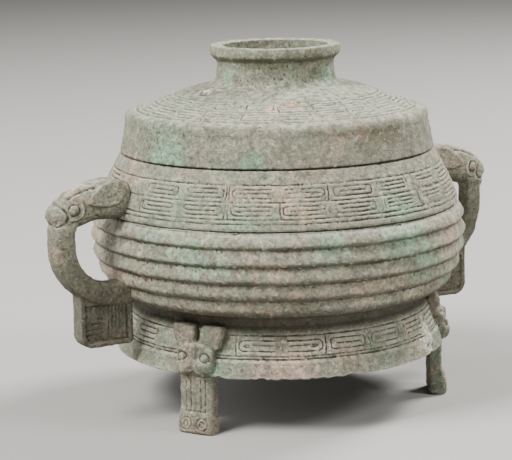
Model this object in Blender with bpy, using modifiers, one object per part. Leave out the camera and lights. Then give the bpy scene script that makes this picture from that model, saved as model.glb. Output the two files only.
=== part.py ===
"""A bronze gui, a lidded food vessel: a ridged bowl on a ring foot with three legs, and its lid.

The bowl, ring foot, handles and legs are one casting. The lid is a second one that lifts off.
Metres, +Z up. The origin is on the ground under the vessel's axis, and the handles lie along X.
Depths are measured down from the mouth, and heights of the lid up from its lower edge.
"""

import math

import bmesh
import bpy
from mathutils import Matrix

# Turned columns, and the pattern cells that go round the vessel
COLUMNS = 44
COLUMNS_PER_CELL = 2
PATTERN_TURN = math.radians(2.7)

# Metal thickness, and the play between the lid and the vessel
WALL = 0.0036
LIP_WALL = 0.0030
SEAT_GAP = 0.0003
LIP_GAP = 0.0004

# Heights of the vessel's zones, from the ground up
LEG_HEIGHT = 0.0360
RING_HEIGHT = 0.0310
TUCK_HEIGHT = 0.0075
RIDGES_HEIGHT = 0.0535
NECK_HEIGHT = 0.0340
LIP_HEIGHT = 0.0080

# The outside: the mouth, and how far each zone below it swells out or draws in
MOUTH_R = 0.1000
SEAT_WIDTH = 0.0042
NECK_FLARE = 0.0155
NECK_EASE = 1.3
BELLY_SWELL = 0.0055
BELLY_TUCK = 0.0160
RING_SETBACK = 0.0102
RING_FLARE = 0.0104
RING_EDGE = 0.0040

# The ridges that ring the belly like courses of roof tiles
RIDGES = 5
RIDGE_BULGE = 0.0030
RIDGE_STEPS = 2
RIDGE_FULLNESS = 0.4
WIDEST_SHARE = 0.34

# Pattern bands: two rows of cells round the neck, one round the ring foot
BAND_TOP = 0.0080
ROW_HEIGHT = 0.0087
ROW_GAP = 0.0010
RING_ROW_TOP = 0.0070
RING_ROW_HEIGHT = 0.0105
RING_BEAD = 0.0016
GROOVE_WIDTH = 0.0012
GROOVE_DEPTH = 0.0010

# Handles: a beast's head on the neck, whose mouth lets out a loop, with a tab hanging under it
HEAD_DEPTH = 0.0225
HEAD_HALF = 0.0122
HEAD_NARROWING = 0.88
HEAD_SIDES = 8
SNOUT_PROUD = 0.0030
FINGER_GAP = 0.0244
LOOP_THICK = 0.0124
LOOP_WIDE = 0.0170
LOOP_CORNER = 0.0036
LOOP_LANDING = 0.84
BEND_HEIGHT = 0.0310
BEND_STEPS = 5
EAR_LENGTH = 0.0250
EAR_HEIGHT = 0.0125
EAR_THICK = 0.0052
EAR_LEAN = math.radians(24)
EAR_DROOP = math.radians(8)
EYE_R = 0.0045
TAB_SETBACK = 0.0136
TAB_WIDE = 0.0356
TAB_LENGTH = 0.0321
TAB_THICK = 0.0120
TAB_CORNER = 0.0080
TAB_CORNER_STEPS = 3
TAB_BORDER = 0.0034
TAB_SINK = 0.0010

# Feet: three beast masks on the ring foot, each over an upright leg with a rolled toe
FEET = 3
FIRST_FOOT = math.radians(90)
LEG_SETBACK = 0.0004
LEG_THICK = 0.0092
LEG_WIDE = 0.0204
TOE_PROUD = 0.0040
TOE_WIDE = 0.0222
TOE_HEIGHT = 0.0138
MASK_PROUD = 0.0020
MASK_WIDE = 0.0244
MASK_HEIGHT = 0.0180
HORN_WIDE = 0.0128
HORN_HEIGHT = 0.0136
HORN_SPACING = 0.0162
HORN_PROUD = 0.0034
MASK_EYE_R = 0.0034
MASK_EYE_SPACING = 0.0160
MASK_EYE_DROP = 0.0062
NOSE_WIDE = 0.0038
NOSE_PROUD = 0.0016
FOOT_ROUNDING = 0.0012

# The lid: a skirt, a rounded shoulder, a low dome with two rows of cells, and a ring to lift it by
SKIRT_HEIGHT = 0.0205
SKIRT_LEAN = 0.0036
BEAD_HEIGHT = 0.0022
BEAD_PROUD = 0.0006
SHOULDER_WIDE = 0.0049
SHOULDER_RISE = 0.0057
DOME_RISE = 0.0150
DOME_EASE = 1.25
LID_BAND_INSET = 0.0030
LID_ROW_WIDE = 0.0110
KNOB_R = 0.0375
KNOB_FILLET = 0.0085
KNOB_WALL = 0.0040
KNOB_HEIGHT = 0.0256
KNOB_RIM_PROUD = 0.0041
KNOB_RIM_HEIGHT = 0.0080
KNOB_RIM_ROUND = 0.0018
KNOB_NECK_CURVE = 0.0048

# Radii, levels and angles worked out from the sizes above
LIP_R = MOUTH_R - SEAT_WIDTH
NECK_END_R = MOUTH_R + NECK_FLARE
BELLY_R = NECK_END_R + BELLY_SWELL
UNDER_R = BELLY_R - BELLY_TUCK
RING_TOP_R = UNDER_R - RING_SETBACK
RING_Z = LEG_HEIGHT
RING_TOP_Z = RING_Z + RING_HEIGHT
UNDER_Z = RING_TOP_Z + TUCK_HEIGHT
MOUTH_Z = UNDER_Z + RIDGES_HEIGHT + NECK_HEIGHT
FLOOR_Z = RING_TOP_Z - WALL
WIDEST_DEPTH = NECK_HEIGHT + WIDEST_SHARE * RIDGES_HEIGHT
UNDER_DEPTH = NECK_HEIGHT + RIDGES_HEIGHT
LOOP_R = BELLY_R + FINGER_GAP + LOOP_THICK / 2
SNOUT_R = LOOP_R + LOOP_THICK / 2 + SNOUT_PROUD
HEAD_Z = MOUTH_Z - HEAD_DEPTH
LOOP_END_DEPTH = NECK_HEIGHT + LOOP_LANDING * RIDGES_HEIGHT
LEG_FRONT_R = RING_TOP_R + RING_FLARE - LEG_SETBACK
LEG_BACK_R = LEG_FRONT_R - LEG_THICK
MASK_FRONT_R = LEG_FRONT_R + MASK_PROUD
MASK_TOP_Z = RING_Z + MASK_HEIGHT
LID_Z = MOUTH_Z + SEAT_GAP
SHOULDER_R = MOUTH_R - SKIRT_LEAN
DOME_EDGE_R = SHOULDER_R - SHOULDER_WIDE
DOME_EDGE_HEIGHT = SKIRT_HEIGHT + SHOULDER_RISE
DOME_TOP_R = KNOB_R + KNOB_FILLET
DOME_TOP_HEIGHT = DOME_EDGE_HEIGHT + DOME_RISE
CELLS = COLUMNS // COLUMNS_PER_CELL
CELL_ANGLE = 2 * math.pi / CELLS
FULL_TURN = 2 * math.pi

# The beast's head from root to snout: share of its length, rise and half height in HEAD_HALF
HEAD_STATIONS = ((0, 0, 0.98), (0.25, 0.14, 1.03), (0.47, 0.08, 1.0), (0.66, -0.2, 0.95),
                 (0.82, -0.47, 0.80), (0.93, -0.66, 0.60), (1, -0.78, 0.26))
EAR_OUT = 0.96
EAR_RISE = 0.4
EYE_OUT = 0.78
EYE_DROP = 0.16
EYE_BACK = 0.28

# Working values that aren't sizes of the vessel
CUT_OVERRUN = 0.0100
WELD = 0.00001
ROOT_SINK = 0.0060
EAR_SEGMENTS = (8, 5)
EYE_SEGMENTS = (6, 4)
CAVITY_STEPS = 3
FLOOR_ROUND = 0.35
SHARP_ANGLE = math.radians(35)

PATINA = {"vessel": (0.30, 0.32, 0.25), "lid": (0.33, 0.38, 0.31)}
PATINA_ROUGHNESS = 0.82
PATINA_METALLIC = 0.15


def clear_scene():
    for obj in list(bpy.data.objects):
        bpy.data.objects.remove(obj)


def make_collection(name):
    collection = bpy.data.collections.new(name)
    bpy.context.scene.collection.children.link(collection)
    return collection


def make_material(name, colour):
    material = bpy.data.materials.new(name + "_patina")
    material.use_nodes = True
    shader = material.node_tree.nodes["Principled BSDF"]
    shader.inputs["Base Color"].default_value = (*colour, 1)
    shader.inputs["Roughness"].default_value = PATINA_ROUGHNESS
    shader.inputs["Metallic"].default_value = PATINA_METALLIC
    return material


def add_object(name, data, collection):
    obj = bpy.data.objects.new(name, data)
    collection.objects.link(obj)
    return obj


def as_mesh(obj):
    """Replaces a curve, or an object with modifiers, by the welded mesh that it evaluates to."""
    graph = bpy.context.evaluated_depsgraph_get()
    mesh = bpy.data.meshes.new_from_object(obj.evaluated_get(graph))
    mesh.transform(obj.matrix_world)
    collection = obj.users_collection[0]
    name = obj.name
    bpy.data.objects.remove(obj)
    shape = bmesh.new()
    shape.from_mesh(mesh)
    bmesh.ops.remove_doubles(shape, verts=shape.verts, dist=WELD)
    bmesh.ops.recalc_face_normals(shape, faces=shape.faces)
    shape.to_mesh(mesh)
    shape.free()
    return add_object(name, mesh, collection)


def turned(name, profile, collection):
    """A solid turned round Z from (radius, height) points that run down its outer side."""
    mesh = bpy.data.meshes.new(name)
    shape = bmesh.new()
    across, along = math.cos(PATTERN_TURN), math.sin(PATTERN_TURN)
    points = [shape.verts.new((r * across, r * along, z)) for r, z in profile]
    for upper, lower in zip(points, points[1:]):
        shape.edges.new((upper, lower))
    shape.to_mesh(mesh)
    shape.free()
    obj = add_object(name, mesh, collection)
    screw = obj.modifiers.new("turn", "SCREW")
    screw.steps = COLUMNS
    screw.render_steps = COLUMNS
    screw.use_merge_vertices = True
    screw.merge_threshold = WELD
    return as_mesh(obj)


def fuse(base, others):
    """One closed mesh from a base and the pieces cast with it."""
    for other in others:
        union = base.modifiers.new("with_" + other.name, "BOOLEAN")
        union.operation = "UNION"
        union.object = other
    fused = as_mesh(base)
    for other in others:
        bpy.data.objects.remove(other)
    return fused


def hollow_out(body, cutters):
    """Cuts turned hollows from a solid."""
    for cutter in cutters:
        cutter.hide_render = True
        cutter.display_type = "WIRE"
        cut = body.modifiers.new("cut_" + cutter.name, "BOOLEAN")
        cut.operation = "DIFFERENCE"
        cut.object = cutter
    return as_mesh(body)


def block(name, low, high, rounding, collection):
    """A box between two corners, with its edges taken off."""
    mesh = bpy.data.meshes.new(name)
    shape = bmesh.new()
    size = [b - a for a, b in zip(low, high)]
    middle = [(a + b) / 2 for a, b in zip(low, high)]
    place = Matrix.Translation(middle) @ Matrix.Diagonal((*size, 1))
    bmesh.ops.create_cube(shape, size=1, matrix=place)
    bmesh.ops.bevel(shape, geom=shape.edges, offset=min(rounding, min(size) / 3),
                    segments=1, profile=0.5, affect="EDGES", material=-1)
    shape.to_mesh(mesh)
    shape.free()
    return add_object(name, mesh, collection)


def boss(name, centre, radii, segments, turn, collection):
    """A rounded lump, such as an eye or an ear."""
    mesh = bpy.data.meshes.new(name)
    shape = bmesh.new()
    place = Matrix.Translation(centre) @ turn @ Matrix.Diagonal((*radii, 1))
    sides, rings = segments
    bmesh.ops.create_uvsphere(shape, u_segments=sides, v_segments=rings, radius=1, matrix=place)
    shape.to_mesh(mesh)
    shape.free()
    return add_object(name, mesh, collection)


def closed_line(curve, points):
    line = curve.splines.new("POLY")
    line.points.add(len(points) - 1)
    for point, (u, v) in zip(line.points, points):
        point.co = (u, v, 0, 1)
    line.use_cyclic_u = True


def swept(name, path, section, collection):
    """A bar along (x, z, size) points in the XZ plane, from a section given for size 1."""
    outline = bpy.data.curves.new(name + "_section", "CURVE")
    outline.dimensions = "2D"
    closed_line(outline, section)
    guide = add_object(name + "_section", outline, collection)
    curve = bpy.data.curves.new(name, "CURVE")
    curve.dimensions = "3D"
    curve.twist_mode = "MINIMUM"
    curve.bevel_mode = "OBJECT"
    curve.bevel_object = guide
    curve.use_fill_caps = True
    line = curve.splines.new("POLY")
    line.points.add(len(path) - 1)
    for point, (x, z, size) in zip(line.points, path):
        point.co = (x, 0, z, 1)
        point.radius = size
    bar = as_mesh(add_object(name, curve, collection))
    bpy.data.objects.remove(guide)
    return bar


def neck_radius(depth):
    """Outer radius of the flaring neck."""
    share = min(max(depth / NECK_HEIGHT, 0), 1)
    return MOUTH_R + NECK_FLARE * (1 - (1 - share) ** NECK_EASE)


def groove_radius(depth):
    """Radius of the curve that the grooves between the ridges lie on."""
    widest = BELLY_R - RIDGE_BULGE
    if depth < WIDEST_DEPTH:
        share = (WIDEST_DEPTH - depth) / (WIDEST_DEPTH - NECK_HEIGHT)
        return widest - (widest - NECK_END_R) * share ** 2
    share = (depth - WIDEST_DEPTH) / (UNDER_DEPTH - WIDEST_DEPTH)
    return widest - (widest - UNDER_R) * share ** 2


def ring_radius(height):
    """Outer radius of the ring foot at a height above the ground."""
    share = min(max((RING_TOP_Z - height) / RING_HEIGHT, 0), 1)
    return RING_TOP_R + RING_FLARE * share


def dome_height(radius):
    """Height of the lid's dome above its lower edge."""
    share = max((radius - DOME_TOP_R) / (DOME_EDGE_R - DOME_TOP_R), 0)
    return DOME_TOP_HEIGHT - DOME_RISE * share ** DOME_EASE


def neck_rows():
    """Depths of the top and the bottom of each row of cells on the neck."""
    tops = (BAND_TOP, BAND_TOP + ROW_HEIGHT + ROW_GAP)
    return [(top, top + ROW_HEIGHT) for top in tops]


def lid_rows():
    """Inner and outer radius of each row of cells on the lid."""
    outside = DOME_EDGE_R - LID_BAND_INSET
    edges = (outside, outside - LID_ROW_WIDE - ROW_GAP)
    return [(edge - LID_ROW_WIDE, edge) for edge in reversed(edges)]


def ridge_points():
    """The ridges in profile: each swells out between two sharp grooves."""
    pitch = RIDGES_HEIGHT / RIDGES
    for number in range(RIDGES):
        top = NECK_HEIGHT + number * pitch
        yield groove_radius(top), MOUTH_Z - top
        for step in range(1, RIDGE_STEPS + 1):
            share = step / (RIDGE_STEPS + 1)
            depth = top + share * pitch
            bulge = RIDGE_BULGE * math.sin(math.pi * share) ** RIDGE_FULLNESS
            yield groove_radius(depth) + bulge, MOUTH_Z - depth
    yield UNDER_R, UNDER_Z


def outer_profile():
    """The vessel's outside, filled: its hollows are cut out later."""
    lip_top = MOUTH_Z + LIP_HEIGHT
    points = [(0, lip_top), (LIP_R, lip_top), (LIP_R, MOUTH_Z), (MOUTH_R, MOUTH_Z)]
    for row in neck_rows():
        points += [(neck_radius(depth), MOUTH_Z - depth) for depth in row]
    points += ridge_points()
    row_top = RING_TOP_Z - RING_ROW_TOP
    row_bottom = row_top - RING_ROW_HEIGHT
    points += [(ring_radius(z), z) for z in (RING_TOP_Z, row_top, row_bottom)]
    for z in (row_bottom - RING_BEAD, RING_Z + RING_EDGE / 2):
        points.append((ring_radius(z) + RING_BEAD / 2, z))
    return points + [(ring_radius(RING_Z), RING_Z), (0, RING_Z)]


def cavity_profile():
    """The hollow of the bowl, a wall inside the grooves' curve, and open through the lip."""
    above = MOUTH_Z + LIP_HEIGHT + CUT_OVERRUN
    inner_lip_r = LIP_R - LIP_WALL
    points = [(0, above), (inner_lip_r, above), (inner_lip_r, MOUTH_Z)]
    points.append((neck_radius(NECK_HEIGHT / 2) - WALL, MOUTH_Z - NECK_HEIGHT / 2))
    for step in range(CAVITY_STEPS):
        depth = NECK_HEIGHT + RIDGES_HEIGHT * step / CAVITY_STEPS
        points.append((groove_radius(depth) - WALL, MOUTH_Z - depth))
    points.append((RING_TOP_R - WALL, UNDER_Z))
    inner_floor = FLOOR_Z + WALL
    return points + [(RING_TOP_R * (1 - FLOOR_ROUND), inner_floor), (0, inner_floor)]


def ring_hollow_profile():
    """The hollow under the bowl, inside the ring foot."""
    edge_r = ring_radius(RING_Z) - WALL
    below = RING_Z - CUT_OVERRUN
    return [(0, FLOOR_Z), (RING_TOP_R - 2 * WALL, FLOOR_Z), (edge_r, RING_Z), (edge_r, below), (0, below)]


def lid_profile():
    """The lid in section: over its outside from the middle of the knob's cup, and back inside."""
    cup_r = KNOB_R - KNOB_WALL
    rim_r = KNOB_R + KNOB_RIM_PROUD
    cup_floor = DOME_TOP_HEIGHT
    rim_top = DOME_TOP_HEIGHT + KNOB_HEIGHT
    rim_bottom = rim_top - KNOB_RIM_HEIGHT
    points = [(0, cup_floor), (cup_r, cup_floor), (cup_r, rim_top - KNOB_RIM_ROUND),
              (cup_r + KNOB_RIM_ROUND, rim_top), (rim_r - KNOB_RIM_ROUND, rim_top),
              (rim_r, rim_top - KNOB_RIM_ROUND), (rim_r, rim_bottom),
              (KNOB_R, rim_bottom - KNOB_NECK_CURVE), (KNOB_R, cup_floor + WALL)]
    radii = [DOME_TOP_R] + [radius for row in lid_rows() for radius in row] + [DOME_EDGE_R]
    points += [(radius, dome_height(radius)) for radius in radii]
    skirt_in_r = LIP_R + LIP_GAP
    points += [(SHOULDER_R, SKIRT_HEIGHT + BEAD_HEIGHT), (SHOULDER_R + BEAD_PROUD, SKIRT_HEIGHT),
               (MOUTH_R, 0), (skirt_in_r, 0), (skirt_in_r, LIP_HEIGHT + WALL),
               (DOME_EDGE_R - WALL, DOME_EDGE_HEIGHT - WALL), (KNOB_R, DOME_TOP_HEIGHT - WALL),
               (0, DOME_TOP_HEIGHT - WALL)]
    return [(radius, LID_Z + height) for radius, height in points]


def carve_cells(obj, low, high, cells):
    """Sinks a groove round each cell of a band, between two heights, and leaves its middle proud."""
    shape = bmesh.new()
    shape.from_mesh(obj.data)
    for cell in cells:
        start = PATTERN_TURN + (cell - 0.5) * CELL_ANGLE
        inside = []
        for face in shape.faces:
            middle = face.calc_center_median()
            turn = (math.atan2(middle.y, middle.x) - start) % FULL_TURN
            outward = face.normal.xy.dot(middle.xy) > 0
            if outward and turn < CELL_ANGLE and low < middle.z < high:
                inside.append(face)
        for depth in (-GROOVE_DEPTH, GROOVE_DEPTH):
            bmesh.ops.inset_region(shape, faces=inside, thickness=GROOVE_WIDTH, depth=depth,
                                   use_even_offset=True)
    shape.to_mesh(obj.data)
    shape.free()


def make_loop(collection):
    """The handle's bar: out of the beast's mouth, down, and back under to the belly."""
    bend_z = MOUTH_Z - LOOP_END_DEPTH + BEND_HEIGHT
    mouth_z = HEAD_Z - HEAD_HALF / 2
    bend_run = LOOP_R - BELLY_R
    path = [(LOOP_R - LOOP_THICK / 3, mouth_z, 1), (LOOP_R, (mouth_z + bend_z) / 2, 1)]
    for step in range(BEND_STEPS + 1):
        angle = math.pi / 2 * step / BEND_STEPS
        x = LOOP_R - bend_run * (1 - math.cos(angle))
        path.append((x, bend_z - BEND_HEIGHT * math.sin(angle), 1))
    path.append((groove_radius(LOOP_END_DEPTH) - ROOT_SINK, MOUTH_Z - LOOP_END_DEPTH, 1))
    w, h, c = LOOP_THICK / 2, LOOP_WIDE / 2, LOOP_CORNER
    section = [(w, h - c), (w - c, h), (c - w, h), (-w, h - c),
               (-w, c - h), (c - w, -h), (w - c, -h), (w, c - h)]
    return swept("loop", path, section, collection)


def make_head(collection):
    """The beast's head, from the neck of the vessel out to the snout."""
    root = neck_radius(HEAD_DEPTH) - ROOT_SINK
    reach = SNOUT_R - root
    path = []
    for share, rise, size in HEAD_STATIONS:
        path.append((root + share * reach, HEAD_Z + rise * HEAD_HALF, size * HEAD_HALF))
    angles = [FULL_TURN * side / HEAD_SIDES for side in range(HEAD_SIDES)]
    section = [(math.cos(angle), HEAD_NARROWING * math.sin(angle)) for angle in angles]
    return swept("head", path, section, collection)


def make_tab(collection):
    """The tab that hangs under the loop, with a raised border round each face."""
    top = MOUTH_Z - LOOP_END_DEPTH
    bottom = top - TAB_LENGTH
    out_r = LOOP_R + LOOP_THICK / 2 - TAB_SETBACK
    in_r = out_r - TAB_WIDE
    outline = [(out_r, top), (in_r, top), (in_r, bottom)]
    for step in range(TAB_CORNER_STEPS + 1):
        angle = math.pi / 2 * step / TAB_CORNER_STEPS
        x = out_r - TAB_CORNER * (1 - math.sin(angle))
        outline.append((x, bottom + TAB_CORNER * (1 - math.cos(angle))))
    curve = bpy.data.curves.new("tab", "CURVE")
    curve.dimensions = "2D"
    curve.fill_mode = "BOTH"
    curve.extrude = TAB_THICK / 2
    closed_line(curve, outline)
    plate = add_object("tab", curve, collection)
    plate.rotation_euler = (math.pi / 2, 0, 0)
    bpy.context.view_layer.update()
    tab = as_mesh(plate)
    shape = bmesh.new()
    shape.from_mesh(tab.data)
    for side in (-1, 1):
        face = [face for face in shape.faces if face.normal.y * side > 0.9]
        bmesh.ops.inset_region(shape, faces=face, thickness=TAB_BORDER, use_even_offset=True)
        bmesh.ops.inset_region(shape, faces=face, thickness=TAB_SINK, depth=-TAB_SINK,
                               use_even_offset=True)
    shape.to_mesh(tab.data)
    shape.free()
    return tab


def make_handle(collection):
    """One whole handle, on the +X side."""
    parts = [make_head(collection), make_tab(collection)]
    root = neck_radius(HEAD_DEPTH)
    head_side = HEAD_HALF * HEAD_NARROWING
    ear_radii = (EAR_LENGTH / 2, EAR_THICK / 2, EAR_HEIGHT / 2)
    ear_x = root + EAR_LENGTH / 2 + WALL / 2
    eye_x = SNOUT_R - EYE_BACK * (SNOUT_R - root)
    upright = Matrix.Identity(4)
    for side in (-1, 1):
        ear_at = (ear_x, side * head_side * EAR_OUT, HEAD_Z + HEAD_HALF * EAR_RISE)
        eye_at = (eye_x, side * head_side * EYE_OUT, HEAD_Z - HEAD_HALF * EYE_DROP)
        lean = Matrix.Rotation(-side * EAR_LEAN, 4, "X") @ Matrix.Rotation(EAR_DROOP, 4, "Y")
        parts.append(boss(f"ear{side}", ear_at, ear_radii, EAR_SEGMENTS, lean, collection))
        parts.append(boss(f"eye{side}", eye_at, (EYE_R,) * 3, EYE_SEGMENTS, upright, collection))
    return fuse(make_loop(collection), parts)


def make_foot(collection):
    """One foot, on the +X side: a beast's mask on the ring foot over an upright leg."""
    horn_bottom = MASK_TOP_Z + FOOT_ROUNDING
    horn_top = horn_bottom + HORN_HEIGHT
    horn_front = ring_radius((horn_bottom + horn_top) / 2) + HORN_PROUD
    horn_back = ring_radius(horn_top) - WALL / 2
    back = ring_radius(MASK_TOP_Z) - WALL
    eye_x = MASK_FRONT_R - MASK_EYE_R / 4
    eye_z = MASK_TOP_Z - MASK_EYE_DROP
    leg = block("leg", (LEG_BACK_R, -LEG_WIDE / 2, TOE_HEIGHT / 4),
                (LEG_FRONT_R, LEG_WIDE / 2, (RING_Z + MASK_TOP_Z) / 2), FOOT_ROUNDING, collection)
    toe = block("toe", (LEG_BACK_R, -TOE_WIDE / 2, 0),
                (LEG_FRONT_R + TOE_PROUD, TOE_WIDE / 2, TOE_HEIGHT), 2 * FOOT_ROUNDING, collection)
    muzzle = block("muzzle", (back, -MASK_WIDE / 2, RING_Z),
                   (MASK_FRONT_R, MASK_WIDE / 2, MASK_TOP_Z), FOOT_ROUNDING, collection)
    nose = block("nose", (back, -NOSE_WIDE / 2, RING_Z + WALL),
                 (MASK_FRONT_R + NOSE_PROUD, NOSE_WIDE / 2, MASK_TOP_Z + WALL), FOOT_ROUNDING, collection)
    parts = [toe, muzzle, nose]
    for side in (-1, 1):
        inner = side * HORN_SPACING / 2 - HORN_WIDE / 2
        parts.append(block(f"horn{side}", (horn_back, inner, horn_bottom),
                           (horn_front, inner + HORN_WIDE, horn_top), 2 * FOOT_ROUNDING, collection))
        eye_at = (eye_x, side * MASK_EYE_SPACING / 2, eye_z)
        parts.append(boss(f"mask_eye{side}", eye_at, (MASK_EYE_R,) * 3, EYE_SEGMENTS,
                          Matrix.Identity(4), collection))
    return fuse(leg, parts)


def turned_copies(obj, angles):
    """Copies of a piece, turned round the vessel's axis to each angle. The piece itself is removed."""
    copies = []
    for number, angle in enumerate(angles, 1):
        mesh = obj.data.copy()
        mesh.transform(Matrix.Rotation(angle, 4, "Z"))
        copies.append(add_object(f"{obj.name}_{number}", mesh, obj.users_collection[0]))
    bpy.data.objects.remove(obj)
    return copies


def cells_clear_of(angles, reach):
    """The cells whose middle is further than reach from every angle."""
    clear = []
    for cell in range(CELLS):
        middle = PATTERN_TURN + cell * CELL_ANGLE
        away = [abs((middle - angle + math.pi) % FULL_TURN - math.pi) for angle in angles]
        if min(away) > reach:
            clear.append(cell)
    return clear


def make_vessel(collection, cutters):
    """The bowl with all that is cast on it."""
    handle_angles = (0, math.pi)
    foot_angles = [FIRST_FOOT + FULL_TURN * number / FEET for number in range(FEET)]
    mask_reach = math.asin((HORN_SPACING + HORN_WIDE) / 2 / RING_TOP_R)
    body = turned("vessel", outer_profile(), collection)
    for top, bottom in neck_rows():
        carve_cells(body, MOUTH_Z - bottom, MOUTH_Z - top, cells_clear_of(handle_angles, CELL_ANGLE / 2))
    row_top = RING_TOP_Z - RING_ROW_TOP
    clear = cells_clear_of(foot_angles, mask_reach + CELL_ANGLE / 2)
    carve_cells(body, row_top - RING_ROW_HEIGHT, row_top, clear)
    body = fuse(body, turned_copies(make_handle(cutters), handle_angles))
    cavity = turned("cavity", cavity_profile(), cutters)
    ring_hollow = turned("ring_hollow", ring_hollow_profile(), cutters)
    body = hollow_out(body, [cavity, ring_hollow])
    return fuse(body, turned_copies(make_foot(cutters), foot_angles))


def make_lid(collection):
    lid = turned("lid", lid_profile(), collection)
    for inner, outer in lid_rows():
        carve_cells(lid, LID_Z + dome_height(outer), LID_Z + dome_height(inner), range(CELLS))
    return lid


def main():
    clear_scene()
    collection = make_collection("gui_food_vessel")
    cutters = make_collection("cutters")
    for piece in (make_vessel(collection, cutters), make_lid(collection)):
        piece.data.materials.clear()
        piece.data.materials.append(make_material(piece.name, PATINA[piece.name]))
        piece.data.shade_smooth()
        piece.data.set_sharp_from_angle(angle=SHARP_ANGLE)


main()
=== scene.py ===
# %% [markdown]
# # A lidded bronze food vessel
#
# The object is a gui, a bronze bowl for food, cast some 2,800 years ago. It has a ridged belly, a ring foot
# on three short legs, two handles shaped as beasts' heads, and a lid that can stand upside down as a dish.
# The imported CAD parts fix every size. This script makes the surface that the eye sees on them: worn lines,
# dented ridges, pits and patina.

# %% Load the fixed frame
import math

import bmesh
import bpy
import numpy as np
from mathutils import Matrix, Vector, noise


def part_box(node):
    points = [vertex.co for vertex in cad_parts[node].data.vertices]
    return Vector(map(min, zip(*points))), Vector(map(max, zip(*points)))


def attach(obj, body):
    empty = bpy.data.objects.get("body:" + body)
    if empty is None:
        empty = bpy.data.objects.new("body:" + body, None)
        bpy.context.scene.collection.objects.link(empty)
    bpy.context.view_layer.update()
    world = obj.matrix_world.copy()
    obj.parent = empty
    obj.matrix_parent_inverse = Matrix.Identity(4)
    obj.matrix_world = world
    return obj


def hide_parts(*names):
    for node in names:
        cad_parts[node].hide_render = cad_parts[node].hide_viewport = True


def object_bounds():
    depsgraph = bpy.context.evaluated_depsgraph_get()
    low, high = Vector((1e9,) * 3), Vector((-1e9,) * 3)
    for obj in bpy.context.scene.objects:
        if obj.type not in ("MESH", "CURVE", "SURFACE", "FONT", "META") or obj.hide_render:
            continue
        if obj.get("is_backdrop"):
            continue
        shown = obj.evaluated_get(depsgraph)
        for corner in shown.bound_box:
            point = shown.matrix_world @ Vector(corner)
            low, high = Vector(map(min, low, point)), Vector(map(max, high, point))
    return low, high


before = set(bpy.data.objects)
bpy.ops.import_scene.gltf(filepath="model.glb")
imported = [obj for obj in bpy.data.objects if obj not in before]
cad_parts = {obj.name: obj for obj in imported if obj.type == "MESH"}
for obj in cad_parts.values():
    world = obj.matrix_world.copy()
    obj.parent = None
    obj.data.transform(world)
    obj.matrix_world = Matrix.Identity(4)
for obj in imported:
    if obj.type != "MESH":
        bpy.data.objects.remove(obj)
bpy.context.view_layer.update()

# %% [markdown]
# ## The sizes
#
# The levels that meet the CAD parts are read from the frame. The other sizes are the casting's own, in
# metres. Each profile is a formula, so a row of the mesh can be put at any height that the ornament needs.

# %% Levels read from the frame
TURN = 2 * math.pi
SEAT_GAP = 0.0003
RIM_CLEAR = 0.0003
LID_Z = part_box("lid")[0].z
LID_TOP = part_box("lid")[1].z - RIM_CLEAR
LIP_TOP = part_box("vessel")[1].z
SNOUT_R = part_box("vessel")[1].x
MOUTH_Z = LID_Z - SEAT_GAP
print("mouth at", round(MOUTH_Z, 4), "and snout at", round(SNOUT_R, 4))

# %% Sizes of the casting
WALL = 0.0036
MOUTH_R = 0.1000
LIP_R = 0.0958
LIP_WALL = 0.0030
NECK_HEIGHT = 0.0340
NECK_FLARE = 0.0155
NECK_EASE = 1.3
RIDGES = 5
RIDGES_HEIGHT = 0.0535
RIDGE_BULGE = 0.0028
RIDGE_FULLNESS = (0.95, 0.85, 0.72, 0.62, 0.55)
RIDGE_LEAN = 1.6
WIDEST_SHARE = 0.34
GROOVES_R = 0.1178
UNDER_R = 0.1050
TUCK_HEIGHT = 0.0075
RING_Z = 0.0360
RING_HEIGHT = 0.0310
RING_TOP_R = 0.0948
RING_FLARE = 0.0104
NECK_END_R = MOUTH_R + NECK_FLARE
NECK_END_Z = MOUTH_Z - NECK_HEIGHT
UNDER_Z = NECK_END_Z - RIDGES_HEIGHT
RING_TOP_Z = RING_Z + RING_HEIGHT
FLOOR_Z = RING_TOP_Z - WALL
WIDEST_DEPTH = NECK_HEIGHT + WIDEST_SHARE * RIDGES_HEIGHT


# %% The curves of its outside
def neck_radius(depth):
    """Outer radius of the neck at a depth below the mouth."""
    share = min(max(depth / NECK_HEIGHT, 0), 1)
    return MOUTH_R + NECK_FLARE * (1 - (1 - share) ** NECK_EASE)


def groove_radius(depth):
    """Radius of the curve that the grooves between the ridges lie on."""
    if depth < WIDEST_DEPTH:
        share = (WIDEST_DEPTH - depth) / (WIDEST_DEPTH - NECK_HEIGHT)
        return GROOVES_R - (GROOVES_R - NECK_END_R) * share ** 2
    share = (depth - WIDEST_DEPTH) / (NECK_HEIGHT + RIDGES_HEIGHT - WIDEST_DEPTH)
    return GROOVES_R - (GROOVES_R - UNDER_R) * share ** 2


def ring_radius(height):
    """Outer radius of the ring foot at a height above the ground."""
    return RING_TOP_R + RING_FLARE * (RING_TOP_Z - height) / RING_HEIGHT


# %% [markdown]
# ## Turned shapes
#
# Bowl, ring foot and lid were cast from models turned on a wheel, so each starts as a closed line that is
# spun round the axis. A Screw modifier would do that too. A spin in bmesh leaves the mesh open to the next
# steps: the columns are halved where lines are carved, so the fine grid is only where it is needed.

# %% Spin a profile, and halve the columns under a pattern
WELD = 0.000001
CELLS = 22
CELL_ANGLE = TURN / CELLS
PATTERN_TURN = math.radians(2.7)
ACROSS_LINE = (-0.5, -0.17, 0.17, 0.5)


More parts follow.
